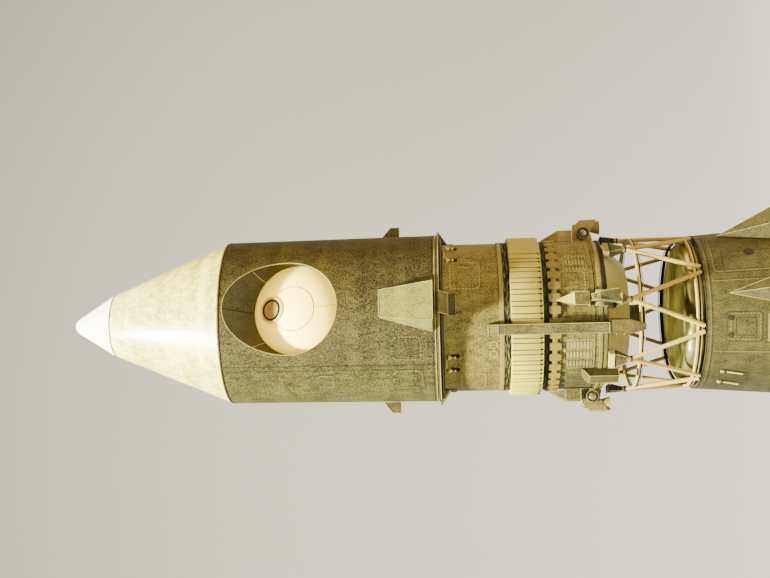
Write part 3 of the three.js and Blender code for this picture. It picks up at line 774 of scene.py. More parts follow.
def fairing_shell():
    """The fairing's thin tube with the hatch cut through its front."""
    top, foot, wall = SHELL["top"], SHELL["foot"], SHELL["wall"]
    tube = turned_mesh("fairing_shell_card", [
        (SHELL["r_foot"], foot), (SHELL["r_top"], top),
        (SHELL["r_top"] - wall, top), (SHELL["r_foot"] - wall, foot),
    ], 288)
    block = prism("hatch_cutter", [[(x, y, z) for x, z in hatch_path()] for y in (-40, -8)], 32)
    cutter = bpy.data.objects.new("hatch_cutter", block)
    shell = bpy.data.objects.new("shell_source", tube)
    for part in (cutter, shell):
        bpy.context.scene.collection.objects.link(part)
    cut = shell.modifiers.new("hatch", "BOOLEAN")
    cut.operation, cut.solver, cut.object = "DIFFERENCE", "EXACT", cutter
    graph = bpy.context.evaluated_depsgraph_get()
    mesh = bpy.data.meshes.new_from_object(shell.evaluated_get(graph))
    for part in (cutter, shell):
        bpy.data.objects.remove(part)
    mesh.shade_smooth()
    mesh.set_sharp_from_angle(angle=math.radians(30))
    return mesh


piece("fairing_shell_card", fairing_shell(), fairing_card, ["fairing_shell"], "print")
rim = [(x, -math.sqrt((shell_radius(z) - 0.1) ** 2 - x * x), z) for x, z in hatch_path(-0.05)]
bars("hatch_rim_edge", [rim], 0.12, edge_card, closed=True, sides=12)


def capsule_point(r, azimuth, high):
    """A point round the capsule's outward axis, so high over its centre; azimuth 0 is towards the nose."""
    t, tilt = math.radians(azimuth), math.radians(CAPSULE["tilt"])
    lift = r * math.cos(t)
    return (r * math.sin(t), -high * math.cos(tilt) + lift * math.sin(tilt),
            CAPSULE["z"] + high * math.sin(tilt) + lift * math.cos(tilt))


def tunnel_point(i, steps, deep, grow):
    """A point of the tunnel wall: i round the hatch, deep from 0 at the mouth to 1 at the capsule."""
    x, z = hatch_path(grow, steps)[i]
    r = shell_radius(z) - SHELL["wall"] - 0.3
    mouth = Vector((x, -math.sqrt(r * r - x * x), z))
    end_high = math.sqrt((CAPSULE["r"] + 0.35) ** 2 - TUNNEL_END**2)
    return tuple(mouth.lerp(Vector(capsule_point(TUNNEL_END + grow, 360 * i / steps, end_high)), deep))


def tunnel():
    """The ruled tunnel from the hatch to the capsule, with a card wall."""
    steps, rows = 120, 6
    points, faces = [], []
    for grow, depths in ((0.0, range(rows + 1)), (0.6, range(rows, -1, -1))):
        for d in depths:
            points += [tunnel_point(i, steps, d / rows, grow) for i in range(steps)]
    total = 2 * (rows + 1)
    for k in range(total):
        a, b = k * steps, (k + 1) % total * steps
        faces += [(a + i, a + (i + 1) % steps, b + (i + 1) % steps, b + i) for i in range(steps)]
    return in_mesh("hatch_tunnel_card", points, faces)


piece("hatch_tunnel_card", tunnel(), tunnel_card, ["hatch_tunnel"], "dark")
SEAM = [[tunnel_point(round(side * (94 - 23 * d)) % 600, 600, d, -0.05)
         for d in (0.03, 0.2, 0.4, 0.6, 0.8, 0.97)] for side in (1, -1)]
bars("tunnel_seams_pale", SEAM, 0.1, edge_card, sides=8)
bars("tunnel_seam_dark", [[tunnel_point(0, 120, d, -0.02) for d in (0.03, 0.97)]], 0.12, dark_card, sides=8)

# The capsule behind the hatch: a dome with its hatch disc and a porthole.


def dome_arc(r, start, end, steps):
    """(radius, outward) points of the capsule's round, from one radius to another."""
    a, b = math.asin(start / r), math.asin(end / r)
    angles = [a + (b - a) * i / steps for i in range(steps + 1)]
    return [(r * math.sin(t), r * math.cos(t)) for t in angles]


def on_capsule(name, profile, tilt, material, cad=None, slot=None, segments=48):
    """A piece turned about an axis through the capsule's centre, tilted so far to the nose."""
    mesh = spun_on_side(name, profile, (0, 0, CAPSULE["z"]), tilt, segments)
    piece(name, mesh, material, [cad] if cad else (), slot)


on_capsule("capsule_card", [
    (0, 19.7), (0, 24.0), (7.55, 24.0), *dome_arc(CAPSULE["r"], 7.6, 15.5, 24), (15.5, 19.7),
], CAPSULE["tilt"], capsule_card, "capsule_dome", "cream", 160)
on_capsule("capsule_hatch_card", [
    (0, 24.3), (7.3, 24.3), *dome_arc(CAPSULE["r"] + 0.05, 7.35, 0, 16)[:-1], (0, CAPSULE["r"] + 0.05),
], CAPSULE["tilt"], capsule_card, "capsule_hatch", "cream", 120)


def dome_point(radius, azimuth, proud=0.0):
    """A point on the dome, at a radius round its hatch."""
    return capsule_point(radius, azimuth, math.sqrt((CAPSULE["r"] + proud) ** 2 - radius**2))


HATCH_LINE = [dome_point(7.47, 3 * i, -0.02) for i in range(120)]
bars("capsule_hatch_line", [HATCH_LINE], 0.09, line_card, closed=True, sides=8)
seam = [dome_point(r, 180 - (r - 7.5) * 0.6) for r in range(8, 16)]
bars("capsule_seam_line", [seam], 0.07, line_card)
PORT_TILT = 31.0
porthole_print = printed_card("porthole_print", (0.28, 0.20, 0.045), (0.08, 0.058, 0.014))
on_capsule("porthole_ring", [
    (2.95, 25.2), (3.65, 25.2), (3.65, 26.1), (3.5, 26.4), (3.1, 26.4), (2.95, 26.2),
], PORT_TILT, dark_card, "capsule_porthole", "dark")
on_capsule("porthole_pane", [(0, 25.2), (2.95, 25.2), (2.95, 26.1), (0, 26.25)], PORT_TILT, porthole_print)
on_capsule("porthole_surround", [
    (3.67, 25.2), (4.6, 25.2), (4.6, 25.86), (3.67, 26.08),
], PORT_TILT, plate_card)

# Fittings on the fairing, flange and gussets.


def dress(material, *cads):
    """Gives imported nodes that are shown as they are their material."""
    for cad in cads:
        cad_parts[cad].data.materials.clear()
        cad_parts[cad].data.materials.append(material)


def copied_bars(name, paths, radius, material, count, start=0.0):
    """Beads along paths on the hatch side, repeated round the rocket."""
    ring_of(name, bar_mesh(name + "_one", paths, radius, material), material, count, start)


dress(pale_card, "fairing_box")
dress(mid_card, "fairing_fin_right", "fairing_fin_left")
BOX_EDGES = [[(x * 4.4, -29.8, 656.95), (x * 6.5, -32.85, 639.4), (x * 8.4, -27.6, 639.4)] for x in (-1, 1)]
BOX_EDGES += [[(-4.4, -29.75, 656.95), (4.4, -29.75, 656.95)], [(-6.5, -32.8, 639.3), (6.5, -32.8, 639.3)]]
bars("fairing_box_edges", BOX_EDGES, 0.11, edge_card)


def skin_mesh(name, corners):
    """A thin convex sheet over the corners of a side, from just under it to just over it."""
    shape = bmesh.new()
    for x, y, z in corners:
        for grow in (0.998, 1.0035):
            shape.verts.new((x * grow * MM, y * grow * MM, z * MM))
    bmesh.ops.convex_hull(shape, input=shape.verts)
    loose = [v for v in shape.verts if not v.link_faces]
    bmesh.ops.delete(shape, geom=loose, context="VERTS")
    mesh = bpy.data.meshes.new(name)
    shape.to_mesh(mesh)
    shape.free()
    return mesh


# Skins on the box's sides are painted shade: a darker, bluer one on the near side and a dark one on the far
# side.
BOX_SIDE = (4.42, -29.75, 656.7), (6.55, -32.75, 639.5), (9.65, -27.0, 639.5), (5.1, -26.9, 656.7)
for label, side, card in (("near", -1, side_painted_shade_card), ("far", 1, shade_card)):
    skin = skin_mesh("box_side", [(side * x, y, z) for x, y, z in BOX_SIDE])
    piece(f"fairing_box_{label}_side", skin, card)
FIN_EDGE = [[(x, -29.3, 651.2), (x, -33.0, 651.2), (x, -33.0, 654.2), (x, -29.3, 657.3)] for x in (-0.7, 0.7)]
copied_bars("fairing_fin_edges", FIN_EDGE, 0.13, edge_card, 2, start=90)
turned("fairing_base_card", [
    (0, 636.3), (27.5, 636.3), (27.6, 636.5), (27.6, 637.2), (29.1, 637.25), (29.2, 637.4), (29.2, 638.15),
    (0, 638.15),
], brown_card, "fairing_base_ring", "print")
hoops("fairing_base_edges", [(29.2, 637.3), (29.05, 638.55)], 0.13, edge_card)
hoops("fairing_base_shadow", [(27.55, 636.75)], 0.3, dark_card)
hoops("tank_head_shadow", [(25.65, 636.1)], 0.16, dark_card)
GUSSET = [(25.9, 637.3), (30.15, 637.6), (30.15, 637.2), (25.9, 634.4)]
ring_of("gussets", side_plate_mesh("gusset", GUSSET, 7.2), brown_card, 4)
GUSSET_EDGE = [[(x, -30.15, 637.6), (x, -30.15, 637.2), (x, -25.9, 634.4)] for x in (-3.6, 3.6)]
GUSSET_EDGE += [[(-3.6, -25.9, 634.35), (3.6, -25.9, 634.35)]]
copied_bars("gusset_edges", GUSSET_EDGE, 0.1, edge_card, 4)
FOOT_PRINT = tapered_mesh("gusset_foot_print", (3.3, 25.2, 25.72, 634.1), (3.6, 25.2, 25.68, 632.2))
ring_of("gusset_foot_prints", FOOT_PRINT, tunnel_card, 4)
copied_bars("gusset_foot_lines", [[(-3.5, -25.6, 632.15), (3.5, -25.6, 632.15)],
                                  [(-3.5, -25.65, 634.2), (-3.5, -25.6, 632.2)]], 0.14, dark_card, 4)

# Third stage.

TANK_ENDS = [(0, TANK["foot"]), (TANK["r"], TANK["foot"]), (TANK["r"], TANK["top"]), (0, TANK["top"])]
turned("third_stage_card", TANK_ENDS, tank_card, "third_stage_tank", "print")


def strip(name, low, high, proud, material):
    """A thin band glued round the third stage, with its outer edges broken."""
    inner, outer = TANK["r"] - 0.2, TANK["r"] + proud
    turned(name, [(inner, low), (outer - 0.06, low), (outer, low + 0.08), (outer, high - 0.08),
                  (outer - 0.06, high), (inner, high)], material)


strip("cream_strip_upper", 616.0, 617.4, 0.3, tan_card)
strip("scribble_upper", 613.6, 616.0, 0.18, ink_band("scribble_band_upper", (0.14, 0.135, 0.046)))
strip("scribble_lower", 600.6, 603.4, 0.18, ink_band("scribble_band_lower", (0.052, 0.046, 0.016)))
strip("cream_strip_lower", 583.9, 585.1, 0.3, split_card(
    "foot_strip_card", (TAN, TAN_INK), ((0.15, 0.125, 0.028), (0.012, 0.01, 0.003))))
# The dark strip turns a lighter olive on its left, key-lit side: painted light.
strip("dark_strip_foot", 582.35, 583.4, 0.25, split_card(
    "foot_ink_painted_light_card", ((0.0086, 0.0068, 0.0029), (0.0021, 0.0019, 0.0009)),
    ((0.12, 0.1, 0.022), (0.01, 0.008, 0.0025))))
strip("bay_line_middle", 587.7, 587.9, 0.06, line_card)
strip("bay_line_lower", 586.1, 586.35, 0.08, dark_card)

# Ribs in pairs of a wide and a narrow one, left out where the band is plain.
RIBS, PAIRS, PAIR_GAP = 37, 42, 3.5
NEXT = 360 / PAIRS
NARROW_AT = 6.6 + 10 * NEXT
turned("ribbed_band_card", [
    (25.9, 603.15), (27.0, 603.15), (27.15, 603.3), (27.15, 613.6), (27.0, 613.75), (25.9, 613.75),
], cream_card, "ribbed_band", "cream")
WIDE_RIB, NARROW_RIB = [
    tapered_mesh("rib", *[(w - less, 26.9, outer, z) for less, outer, z in (
        (0.2, 27.2, 603.9), (0, 27.42, 604.5), (0, 27.42, 613.2), (0.1, 27.2, 613.6))]) for w in (1.0, 0.63)]
ring_of("wide_ribs", WIDE_RIB, cream_card, RIBS, start=NARROW_AT - NEXT / 2, whole=PAIRS)
ring_of("narrow_ribs", NARROW_RIB, cream_card, RIBS - 1, start=NARROW_AT, whole=PAIRS)
PATCH = tapered_mesh("plain_patch", (1.8, 26.9, 27.3, 603.6), (1.8, 26.9, 27.3, 613.4))
ring_of("plain_patch", PATCH, cream_card, 6, start=43.5, whole=48)
GROOVE = (0.17, 26.9, 27.3, 604.2), (0.14, 26.9, 27.28, 613.4)
NOTCH = (0.28, 26.9, 27.3, 603.5), (0.2, 26.9, 27.42, 604.3)
for label, first in (("near", NARROW_AT - PAIR_GAP / 2), ("far", NARROW_AT + PAIR_GAP / 2 - NEXT)):
    for kind, stations, card in (("grooves", GROOVE, groove_card), ("notches", NOTCH, dark_card)):
        shape = tapered_mesh("rib_" + kind, *stations)
        ring_of(f"rib_{kind}_{label}", shape, card, RIBS, start=first, whole=PAIRS)

TEETH = 40
turned("tooth_strip", [
    (25.5, 598.6), (26.15, 598.6), (26.2, 598.7), (26.2, 600.2), (26.15, 600.3), (25.5, 600.3),
], tooth_card, "tooth_band", "cream")
TOOTH = [(w, 25.5, 26.3, z) for w, z in ((0.95, 597.5), (1.35, 598.0), (1.35, 600.9), (0.95, 601.35))]
GAP = [(w, 25.5, 25.85, z) for w, z in ((0.5, 600.2), (0.62, 600.5), (0.62, 601.4))]
LOW_GAP = [(0.55, 25.5, 25.85, z) for z in (597.4, 598.5)]
ring_of("teeth", tapered_mesh("tooth", *TOOTH), tooth_card, TEETH, start=2.5)
strip("tooth_ground", 597.7, 601.5, 0.1, tunnel_card)
ring_of("tooth_gaps", tapered_mesh("gap_up", *GAP), dark_card, TEETH, start=7.0)
ring_of("tooth_low_gaps", tapered_mesh("gap_down", *LOW_GAP), tunnel_card, TEETH, start=7.0)

# Fittings beside the gussets: pairs of pins in small brackets.
PIN_PAIRS = [(37.8, 54.3), (-53.5, -41.0), (127.0, 142.0), (-142.0, -127.0)]
ALL_PINS = [a for pair in PIN_PAIRS for a in pair]
cone = turned_mesh("pin_cone", [(0, 633.3), (0.35, 633.3), (0.82, 634.2), (0.82, 634.6), (0, 634.6)], 20)
BALL = [(0.53 * math.sin(math.radians(a)), 632.53 - 0.53 * math.cos(math.radians(a)))
        for a in range(20, 180, 20)]
ball = turned_mesh("pin_ball", [(0, 632.0), *BALL, (0, 633.06)], 20)
stem = turned_mesh("pin_stem", [(0, 630.9), (0.36, 630.9), (0.36, 633.6), (0, 633.6)], 12)
for label, part, card, out, aside in (
    ("cones", cone, edge_card, 25.95, 0), ("balls", ball, edge_card, 25.95, 0),
    ("stems", stem, dark_card, 25.8, 0), ("shades", stem, dark_card, 25.62, 0.72),
):
    places = [turn(azimuth) @ shift(aside, -out, 0) for azimuth in ALL_PINS]
    piece(f"pin_{label}", copies_at(f"pin_{label}", part, places), card)
PIN_BARS = [[polar(25.75, a + (b - a) * (0.2 + 0.1 * i), 635.3) for i in range(7)] for a, b in PIN_PAIRS]
bars("pin_bars", PIN_BARS, 0.22, edge_card, sides=8)

# Cable duct and channel box.
dress(mid_card, "raceway_box")
dress(brown_card, "raceway_tail")
CHANNEL = [(25.4, 590.6), (26.6, 589.9), (29.2, 588.2), (29.2, 578.5), (26.2, 578.5), (26.2, 582.0),
           (25.4, 582.6)]
ring_of("channel_box_card", side_plate_mesh("channel", CHANNEL, 3.6), plain_card, 1, start=CHANNEL_TURN,
        replaces=["channel_box"], slot="print")


def side_bars(name, azimuth, paths, radius, material, sides=6):
    """Beads along (across, outward, height) paths, turned to an azimuth."""
    cosine, sine = math.cos(math.radians(azimuth)), math.sin(math.radians(azimuth))
    paths = [[(x * cosine + r * sine, x * sine - r * cosine, z) for x, r, z in path] for path in paths]
    bars(name, paths, radius, material, sides=sides)


def raceway_bars(name, paths, radius, material, sides=6):
    """Beads on the cable duct."""
    side_bars("raceway_" + name, RACEWAY_TURN, paths, radius, material, sides)


raceway_bars("edges", [[(x, 29.0, 621.3), (x, 29.0, 582.2)] for x in (-1.65, 1.65)], 0.09, edge_card)
ENDS = (29.0, 621.4), (29.0, 582.2), (29.05, 618.2)
raceway_bars("ends", [[(-1.6, r, z), (1.6, r, z)] for r, z in ENDS], 0.13, edge_card)
PATCH = tapered_mesh("raceway_patch", (1.3, 28.8, 29.12, 621.0), (1.3, 28.8, 29.12, 618.4))
ring_of("raceway_patch", PATCH, pale_card, 1, start=RACEWAY_TURN)
raceway_bars("joint", [[(-2.4, 29.35, 581.7), (2.4, 29.35, 581.7)]] + [
    [(x, 27, 581.7), (x, 29.3, 581.7)] for x in (-2.45, 2.45)], 0.13, dark_card)
DOTS = [[(-2.2, 29.4, z), (-2.2, 29.46, z)] for z in (580.0, 577.6)]
raceway_bars("tail_dots", DOTS, 0.3, tan_card, sides=12)
side_bars("channel_edges", CHANNEL_TURN, [[(x, 29.2, 588.1), (x, 29.2, 578.5)] for x in (-1.8, 1.8)] + [
    [(-1.8, r0, z0), (-1.8, 29.2, z1), (1.8, 29.2, z1), (1.8, r0, z0)]
    for r0, z0, z1 in ((26.3, 578.5, 578.5), (26.6, 589.9, 588.2))], 0.1, edge_card)

# Steering engines: a folded fairing, a bracket plate with a round boss on each cheek, and a small bell.
UNIT_LIFT = {0: 0, 90: 2.0, 180: 1.4, 270: 1.4}
UNIT = [(25.95, 587.8), (31, 587.8), (33.6, 585.4), (33.6, 579.5), (29.3, 582), (26.5, 581.2), (25.95, 582.6)]
# The fairing at 90 degrees gets a lighter, warmer card than the others: painted warm light.
dress(mid_card, "steering_fairing_0")
dress(painted_warm_light_unit_card, "steering_fairing_90")
dress(mid_card, "steering_fairing_180", "steering_fairing_270")


def at_quarters(name, source, material, turns=tuple(UNIT_LIFT), **kwargs):
    """Copies of a steering piece of the hatch side, turned to the quarters and raised as each is glued."""
    places = [shift(0, 0, UNIT_LIFT[azimuth]) @ turn(azimuth) for azimuth in turns]
    piece(name, copies_at(name, source, places), material, **kwargs)


def bars_at_quarters(name, paths, radius, material):
    """Beads along paths on the hatch side, placed like the steering pieces."""
    at_quarters(name, bar_mesh(name + "_one", paths, radius, material), material)


def unit_half(z):
    """Half width of a steering unit at a height: it widens towards its bell."""
    return 1.0 + (587.8 - z) * 0.15


# A pale sheet on the front unit's nose-facing ramp is painted light.
RAMP_LIGHT = skin_mesh("ramp_painted_light", [(-2.0, -29.85, 593.3), (2.0, -29.85, 593.3), (0, -27.1, 598.8)])
piece("steering_ramp_print", RAMP_LIGHT, edge_card)
bars_at_quarters("steering_fairing_edges", [
    [(x * 2.15, -26.2, 588.4), (x * 2.15, -29.9, 588.4), (x * 2.15, -29.9, 593.2), (0, -27.0, 599.0)]
    for x in (-1, 1)] + [[(-2.15, -29.9, 593.2), (2.15, -29.9, 593.2)]], 0.09, edge_card)
plate = side_plate_mesh("unit_plate", UNIT, 2.0)
for corner in plate.vertices:
    corner.co.x *= unit_half(corner.co.z / MM)
# The front plate's darker card is painted shade; the lighter, warmer one at 90 degrees is painted warm light.
for label, card, turns in (("plate_front", unit_card, (0,)), ("plate_right", painted_warm_light_unit_card, (90,)),
                           ("plates_around", side_unit_card, (180, 270))):
    cads = [f"steering_engine_{a}" for a in turns]
    at_quarters("steering_" + label, plate, card, turns, replaces=cads, slot="print")
UNIT_EDGES = [[(x * unit_half(z), -r, z) for r, z in UNIT[:4]] for x in (-1, 1)]
bars_at_quarters("steering_plate_edges", UNIT_EDGES, 0.11, edge_card)


def boss(name, profile):
    """A (radius, out) profile turned about the tangent line through the steering unit, on both cheeks."""
    cheeks = [shift(0, -28.8, 584.4) @ turn(a, "Y") for a in (90, -90)]
    return copies_at(name, turned_mesh(name, profile, 40), cheeks)


TUBE = [(1.8, 1.5), (2.2, 1.5), (2.2, 2.5), (2.1, 2.6), (1.8, 2.6)]
CAP = [(1.6 * math.cos(math.radians(a)), 1.7 + 1.2 * math.sin(math.radians(a))) for a in range(0, 90, 15)]
UNIT_NOSE = [(0, -1.0), (0.9, -1.0), (1.05, 0.2), (0.8, 0.9), (0, 1.2)]
at_quarters("steering_bosses", boss("boss_tube", TUBE), side_unit_card)
at_quarters("steering_boss_wells", boss("boss_well", [(0, 1.4), (1.8, 1.4), (1.8, 1.9), (0, 1.9)]), dark_card)
at_quarters("steering_balls", boss("boss_ball", [(0, 1.5), (1.6, 1.6), *CAP, (0, 2.9)]), ball_card)
at_quarters("steering_noses", spun_on_side("unit_nose", UNIT_NOSE, (0, -31.4, 586.9)), side_unit_card)
cup = turned_mesh("steering_cup", [
    (0, 582.4), (1.4, 582.4), (1.6, 581.6), (2.2, 579.6), (2.5, 578.5), (2.25, 578.45), (1.9, 579.6),
    (1.2, 581.3), (0, 581.4),
], 40)
cup.transform(shift(0, -31.2, 0))
at_quarters("steering_cups", cup, tan_card)

turned("base_cone_card", [(0, 574), (17.4, 574), (17.5, 574.1), (25, 582), (0, 582)], tan_card,
       "third_stage_base_cone", "cream")
bars("base_cone_seam", [[polar(25.0, 18, 581.95), polar(17.5, 8, 574.05)]], 0.07, line_card)
turned("third_stage_bell", [
    (0, 574.2), (4.2, 574.2), (4.2, 572.5), (3.4, 572.2), (3.0, 571.2), (3.1, 569.5), (3.6, 566.5),
    (3.2, 566.5), (2.7, 569.5), (2.4, 571.0), (0, 571.2),
], tunnel_card, "third_stage_engine", "dark", segments=64)

# Open truss.


def struts(name, ends, radius, material, **kwargs):
    """Rolled struts at (azimuth of the top, turn to the foot)."""
    (top_r, top_z), (foot_r, foot_z) = TRUSS_TOP, TRUSS_FOOT
    paths = [[polar(top_r, a, top_z), polar(foot_r, a + d, foot_z)] for a, d in ends]
    bars(name, paths, radius, material, sides=20, **kwargs)


NEAR = [(a, -FOOT_TURN) for a in (-90, -45, 0, 45, 90)] + [(a, FOOT_TURN) for a in (-90, -45)]
SHADED_STRUTS = [(a, FOOT_TURN) for a in (0, 45, 90)]
FAR = [(a, d) for a in (135, 180, 225) for d in (-FOOT_TURN, FOOT_TURN)]
# Struts that face away from the key light, and the far ones, get darker cards: painted shade.
struts("truss_struts_near", NEAR, 0.74, strut_card, replaces=["stage_truss"], slot="cream")
struts("truss_struts_warm", SHADED_STRUTS, 0.74, shaded_strut_card)
struts("truss_struts_far", FAR, 0.7, far_shade_and_ferrule_card)
hoops("truss_hoops", [(25.6, 571.6), (25.3, 553.2)], 0.52, strut_card, sides=16)
hoops("truss_hoop_shades", [(25.65, 570.95), (25.3, 552.5)], 0.3, dark_card)
hoops("truss_hoop_lines", [(25.7, 570.3), (25.4, 551.9)], 0.14, edge_card)
block = tapered_mesh("bracket_block", (2.8, 25.3, 27.25, 581.9), (2.8, 24.6, 27.25, 580.1))
ring_of("bracket_blocks", block, plate_card, 3, start=135, whole=4)
# The block at 45 degrees gets darker tan card: painted shade.
ring_of("bracket_tan_block", block, tan_card, 1, start=45)
# The dark low blocks, the dark lines under them and the dark webs at the sides are painted shade on the
# brackets.
low_block = tapered_mesh("bracket_low_block", (2.8, 24.8, 27.25, 580.7), (2.8, 24.4, 27.25, 580.1))
ring_of("bracket_low_blocks", low_block, dark_card, 4)
shade_line = tapered_mesh("bracket_line", (2.8, 25.3, 27.0, 580.1), (2.7, 25.2, 27.0, 579.6))
ring_of("bracket_lines", shade_line, dark_card, 8)
web = tapered_mesh("bracket_web", (2.6, 24.6, 27.1, 579.6), (0.8, 25.5, 26.9, 575.2))
ring_of("bracket_webs_front", web, unit_card, 3, start=-45, whole=8)
ring_of("bracket_webs_back", web, unit_card, 3, start=135, whole=8)
ring_of("bracket_webs_sides", web, dark_card, 2, start=90)
WEB_EDGES = [[(x * 2.6, -27.1, 579.6), (x * 0.8, -26.9, 575.2)] for x in (-1, 1)]
copied_bars("bracket_web_edges", WEB_EDGES, 0.1, edge_card, 8)
for label, heights, radius, card in (("ferrules", (576.0, 573.8), 0.98, far_shade_and_ferrule_card),
                                     ("ferrule_lines", (574.75, 574.35), 1.06, dark_card)):
    paths = [[polar(26.2, a, z) for z in heights] for a in range(0, 360, 45)]
    bars("truss_" + label, paths, radius, card, sides=20)

# Foil dish and core head.

turned("dish_collar_foil", [
    (21.9, 550.8), (24.0, 550.8), (24.1, 551.8), (24.1, 552.8), (24.0, 553.7), (23.75, 554.5),
    (23.35, 555.15), (22.8, 555.6), (22.2, 555.85), (21.9, 555.9),
], dish_foil, "dish_collar", "foil")
FAR_RIM = [(a, math.sqrt(math.sin(math.radians(a - 79)))) for a in range(80, 259, 3)]
# Dark bars just inside the far rim are painted shade of the collar's inner wall.
RIM_SHADE = [[polar(23.6, a, 555.8 + lift * part) for a, lift in FAR_RIM] for part in (0.15, 0.75)]
bars("dish_rim_lining", RIM_SHADE, 0.36, dark_card, sides=12)
bars("dish_rim_edge", [[polar(23.9, a, 556.2 + lift) for a, lift in FAR_RIM]], 0.14, edge_card, sides=12)
turned("foil_dish_card", [
    (0, 550.8), (21.8, 550.8), (21.85, 555.85), (17.0, 555.95), (12.0, 556.0), (6, 556.0), (0, 556.0),
], dish_foil, "foil_dish", "foil", sharp=50)


def core_radius(z):
    """Outer radius of the core stage at a height."""
    for (r0, z0), (r1, z1) in zip(CORE, CORE[1:]):
        if z >= z1:
            return r0 + (r1 - r0) * (z - z0) / (z1 - z0)
    return CORE_TAIL_R


def core_stack(name, top, foot, material, cad):
    """One length of the core's stepped tube."""
    between = [(r, z) for r, z in CORE if foot + 0.5 < z < top - 0.5]
    profile = [(0, top), (core_radius(top), top), *between, (core_radius(foot), foot), (0, foot)]
    turned(name, profile, material, cad, "print", sharp=30)


core_stack("core_head_card", 550.5, 505.15, head_card, "core_head")
core_stack("core_tank_card", 504.85, 400.15, core_card, "core_tank")
core_stack("core_taper_card", 399.85, 220.15, core_low_card, "core_taper")
hoops("core_head_edge", [(26.35, 550.55)], 0.13, dark_card)
hoops("core_seam_edges", [(29.5, 504.85), (20.5, 219.9)], 0.16, edge_card)
WEDGE_TURNS = {1: 2, 2: 58, 3: 122, 4: 178}
WEDGE_EDGES = [[(0, 27.4, 543.2), foot]
               for foot in ((-8.2, 36.5, 517.6), (8.2, 36.5, 517.6), (0, 42.0, 517.6))]
dress(wedge_card, *[f"core_wedge_{n}" for n in WEDGE_TURNS])
for n, azimuth in WEDGE_TURNS.items():
    side_bars(f"core_wedge_edges_{n}", azimuth, WEDGE_EDGES, 0.07, edge_card)
dress(mid_card, "core_hatch_box")
side_bars("core_hatch_box_edges", CORE_BOX_TURN, [
    [(-4.3, r0, z0), (-4.3, r1, z1), (4.3, r1, z1), (4.3, r0, z0)]
    for r0, z0, r1, z1 in ((27.8, 531.5, 29.0, 531.5), (29.0, 531.5, 30.2, 523.0))], 0.12, edge_card)
PINS = [[polar(27.3, a, z), polar(28.0, b, low)]
        for a, z, b, low in ((-56.2, 545.0, -58.3, 538.0), (-68.2, 545.2, -71.0, 538.4))]
bars("core_pins", PINS, 0.28, plate_card, sides=12)
for label, r, long, places, radius, card in (
    ("heads", 27.6, 0.9, ((-56.3, 545.2), (-68.4, 545.4)), 0.4, plate_card),
    ("bands", 27.5, 0.3, ((-56.7, 543.7), (-68.9, 543.9)), 0.36, dark_card),
):
    paths = [[polar(r, a, z), polar(r, a, z - long)] for a, z in places]
    bars("core_pin_" + label, paths, radius, card, sides=14)

# Engines and boosters.


def tail_skirt(r, z0, z1):
    """(radius, height) profile of a tail tube that is open below."""
    return [(r, z0), (r, z1), (0, z1), (0, z0 + 6), (r - 1.2, z0 + 6), (r - 1.2, z0)]


turned("core_tail_card", tail_skirt(CORE_TAIL_R, 14, 219.85), core_low_card, "core_tail", "print")


def booster_lean(z):
    """How far out a booster's axis is at a height."""
    return BOOSTER["foot"] + (BOOSTER["head"] - BOOSTER["foot"]) * z / BOOSTER["z"]


def round_boosters(name, source, material, cad=None, slot=None):
    """A piece of the first booster repeated on all four."""
    cads = [f"booster{n}_{cad}" for n in (1, 2, 3, 4)] if cad else ()
    ring_of(name, source, material, 4, start=45, replaces=cads, slot=slot)


BODY = [(0, 50.3), (26.5, 50.3), (24, 110), (20.2, 170), (16.5, 220), (9.9, 300), (4.6, 370), (3.2, 390),
        (2.4, 394.6), (1.2, 395.7), (0, 396)]
for label, profile in (("body", BODY), ("tail", tail_skirt(BOOSTER["r"], 12, 50))):
    tube = turned_mesh("booster_" + label, profile, 96, lean=booster_lean, mapped=True)
    round_boosters(f"booster_{label}_cards", tube, booster_card, label, "print")


def bell_profile(r, top, throat):
    """(radius, height) profile of a hollow engine bell with its rim at the bottom."""
    outer = [(throat + (r - throat) * math.sin(math.radians(90 * t)) ** 1.25, top * (1 - t) ** 1.2 * 0.82)
             for t in (0.0, 0.15, 0.3, 0.45, 0.6, 0.75, 0.9, 1.0)]
    inner = [(max(x - 0.5, 0.6), z) for x, z in reversed(outer[1:])]
    neck = [(0, top), (throat + 0.9, top), (throat + 0.9, top * 0.92), (throat + 0.2, top * 0.88)]
    return [*neck, *outer, *inner, (0, outer[1][1] + 0.4)]


def engine_pieces(name, plate_r, plate_z, small, cads, centres):
    """Round plate with four main bells and small steering bells, at each centre (radius, azimuth)."""
    spots = {"plates": [(0, 0)], "main_bells": [(11.3, a) for a in (45, 135, 225, 315)], "small_bells": small}
    profiles = {
        "plates": ([(0, plate_z), (plate_r, plate_z), (plate_r, plate_z + 1.6), (0, plate_z + 1.6)], 96),
        "main_bells": (bell_profile(6.9, plate_z, 2.4), 64),
        "small_bells": ([(r, z + 6) for r, z in bell_profile(2.6, plate_z - 6, 0.9)], 40),
    }
    for label, (profile, segments) in profiles.items():
        places = bpy.data.meshes.new(f"{name}_{label}_places")
        places.from_pydata([(turn(azimuth) @ shift(0, -away, 0)) @ Vector(polar(r * MM, a, 0))
                            for away, azimuth in centres for r, a in spots[label]], [], [])
        values = {"Piece": turned_mesh(label, profile, segments), "Places": places}
        if label == "plates":
            grown(f"{name}_{label}", ON_POINTS, values, tunnel_card, replaces=cads, slot="dark")
        else:
            grown(f"{name}_{label}", ON_POINTS, values, fitting_metal)


engine_pieces("core_engine", 18.9, 18.0, [(16.2, a) for a in (0, 90, 180, 270)], ["core_engine"], [(0, 0)])
ENGINES = [f"booster{n}_engine" for n in (1, 2, 3, 4)]
engine_pieces("booster_engine", 25.1, 16.0, [(20.5, -38), (20.5, 38)], ENGINES,
              [(booster_lean(16), azimuth) for azimuth in BOOSTER_TURNS])
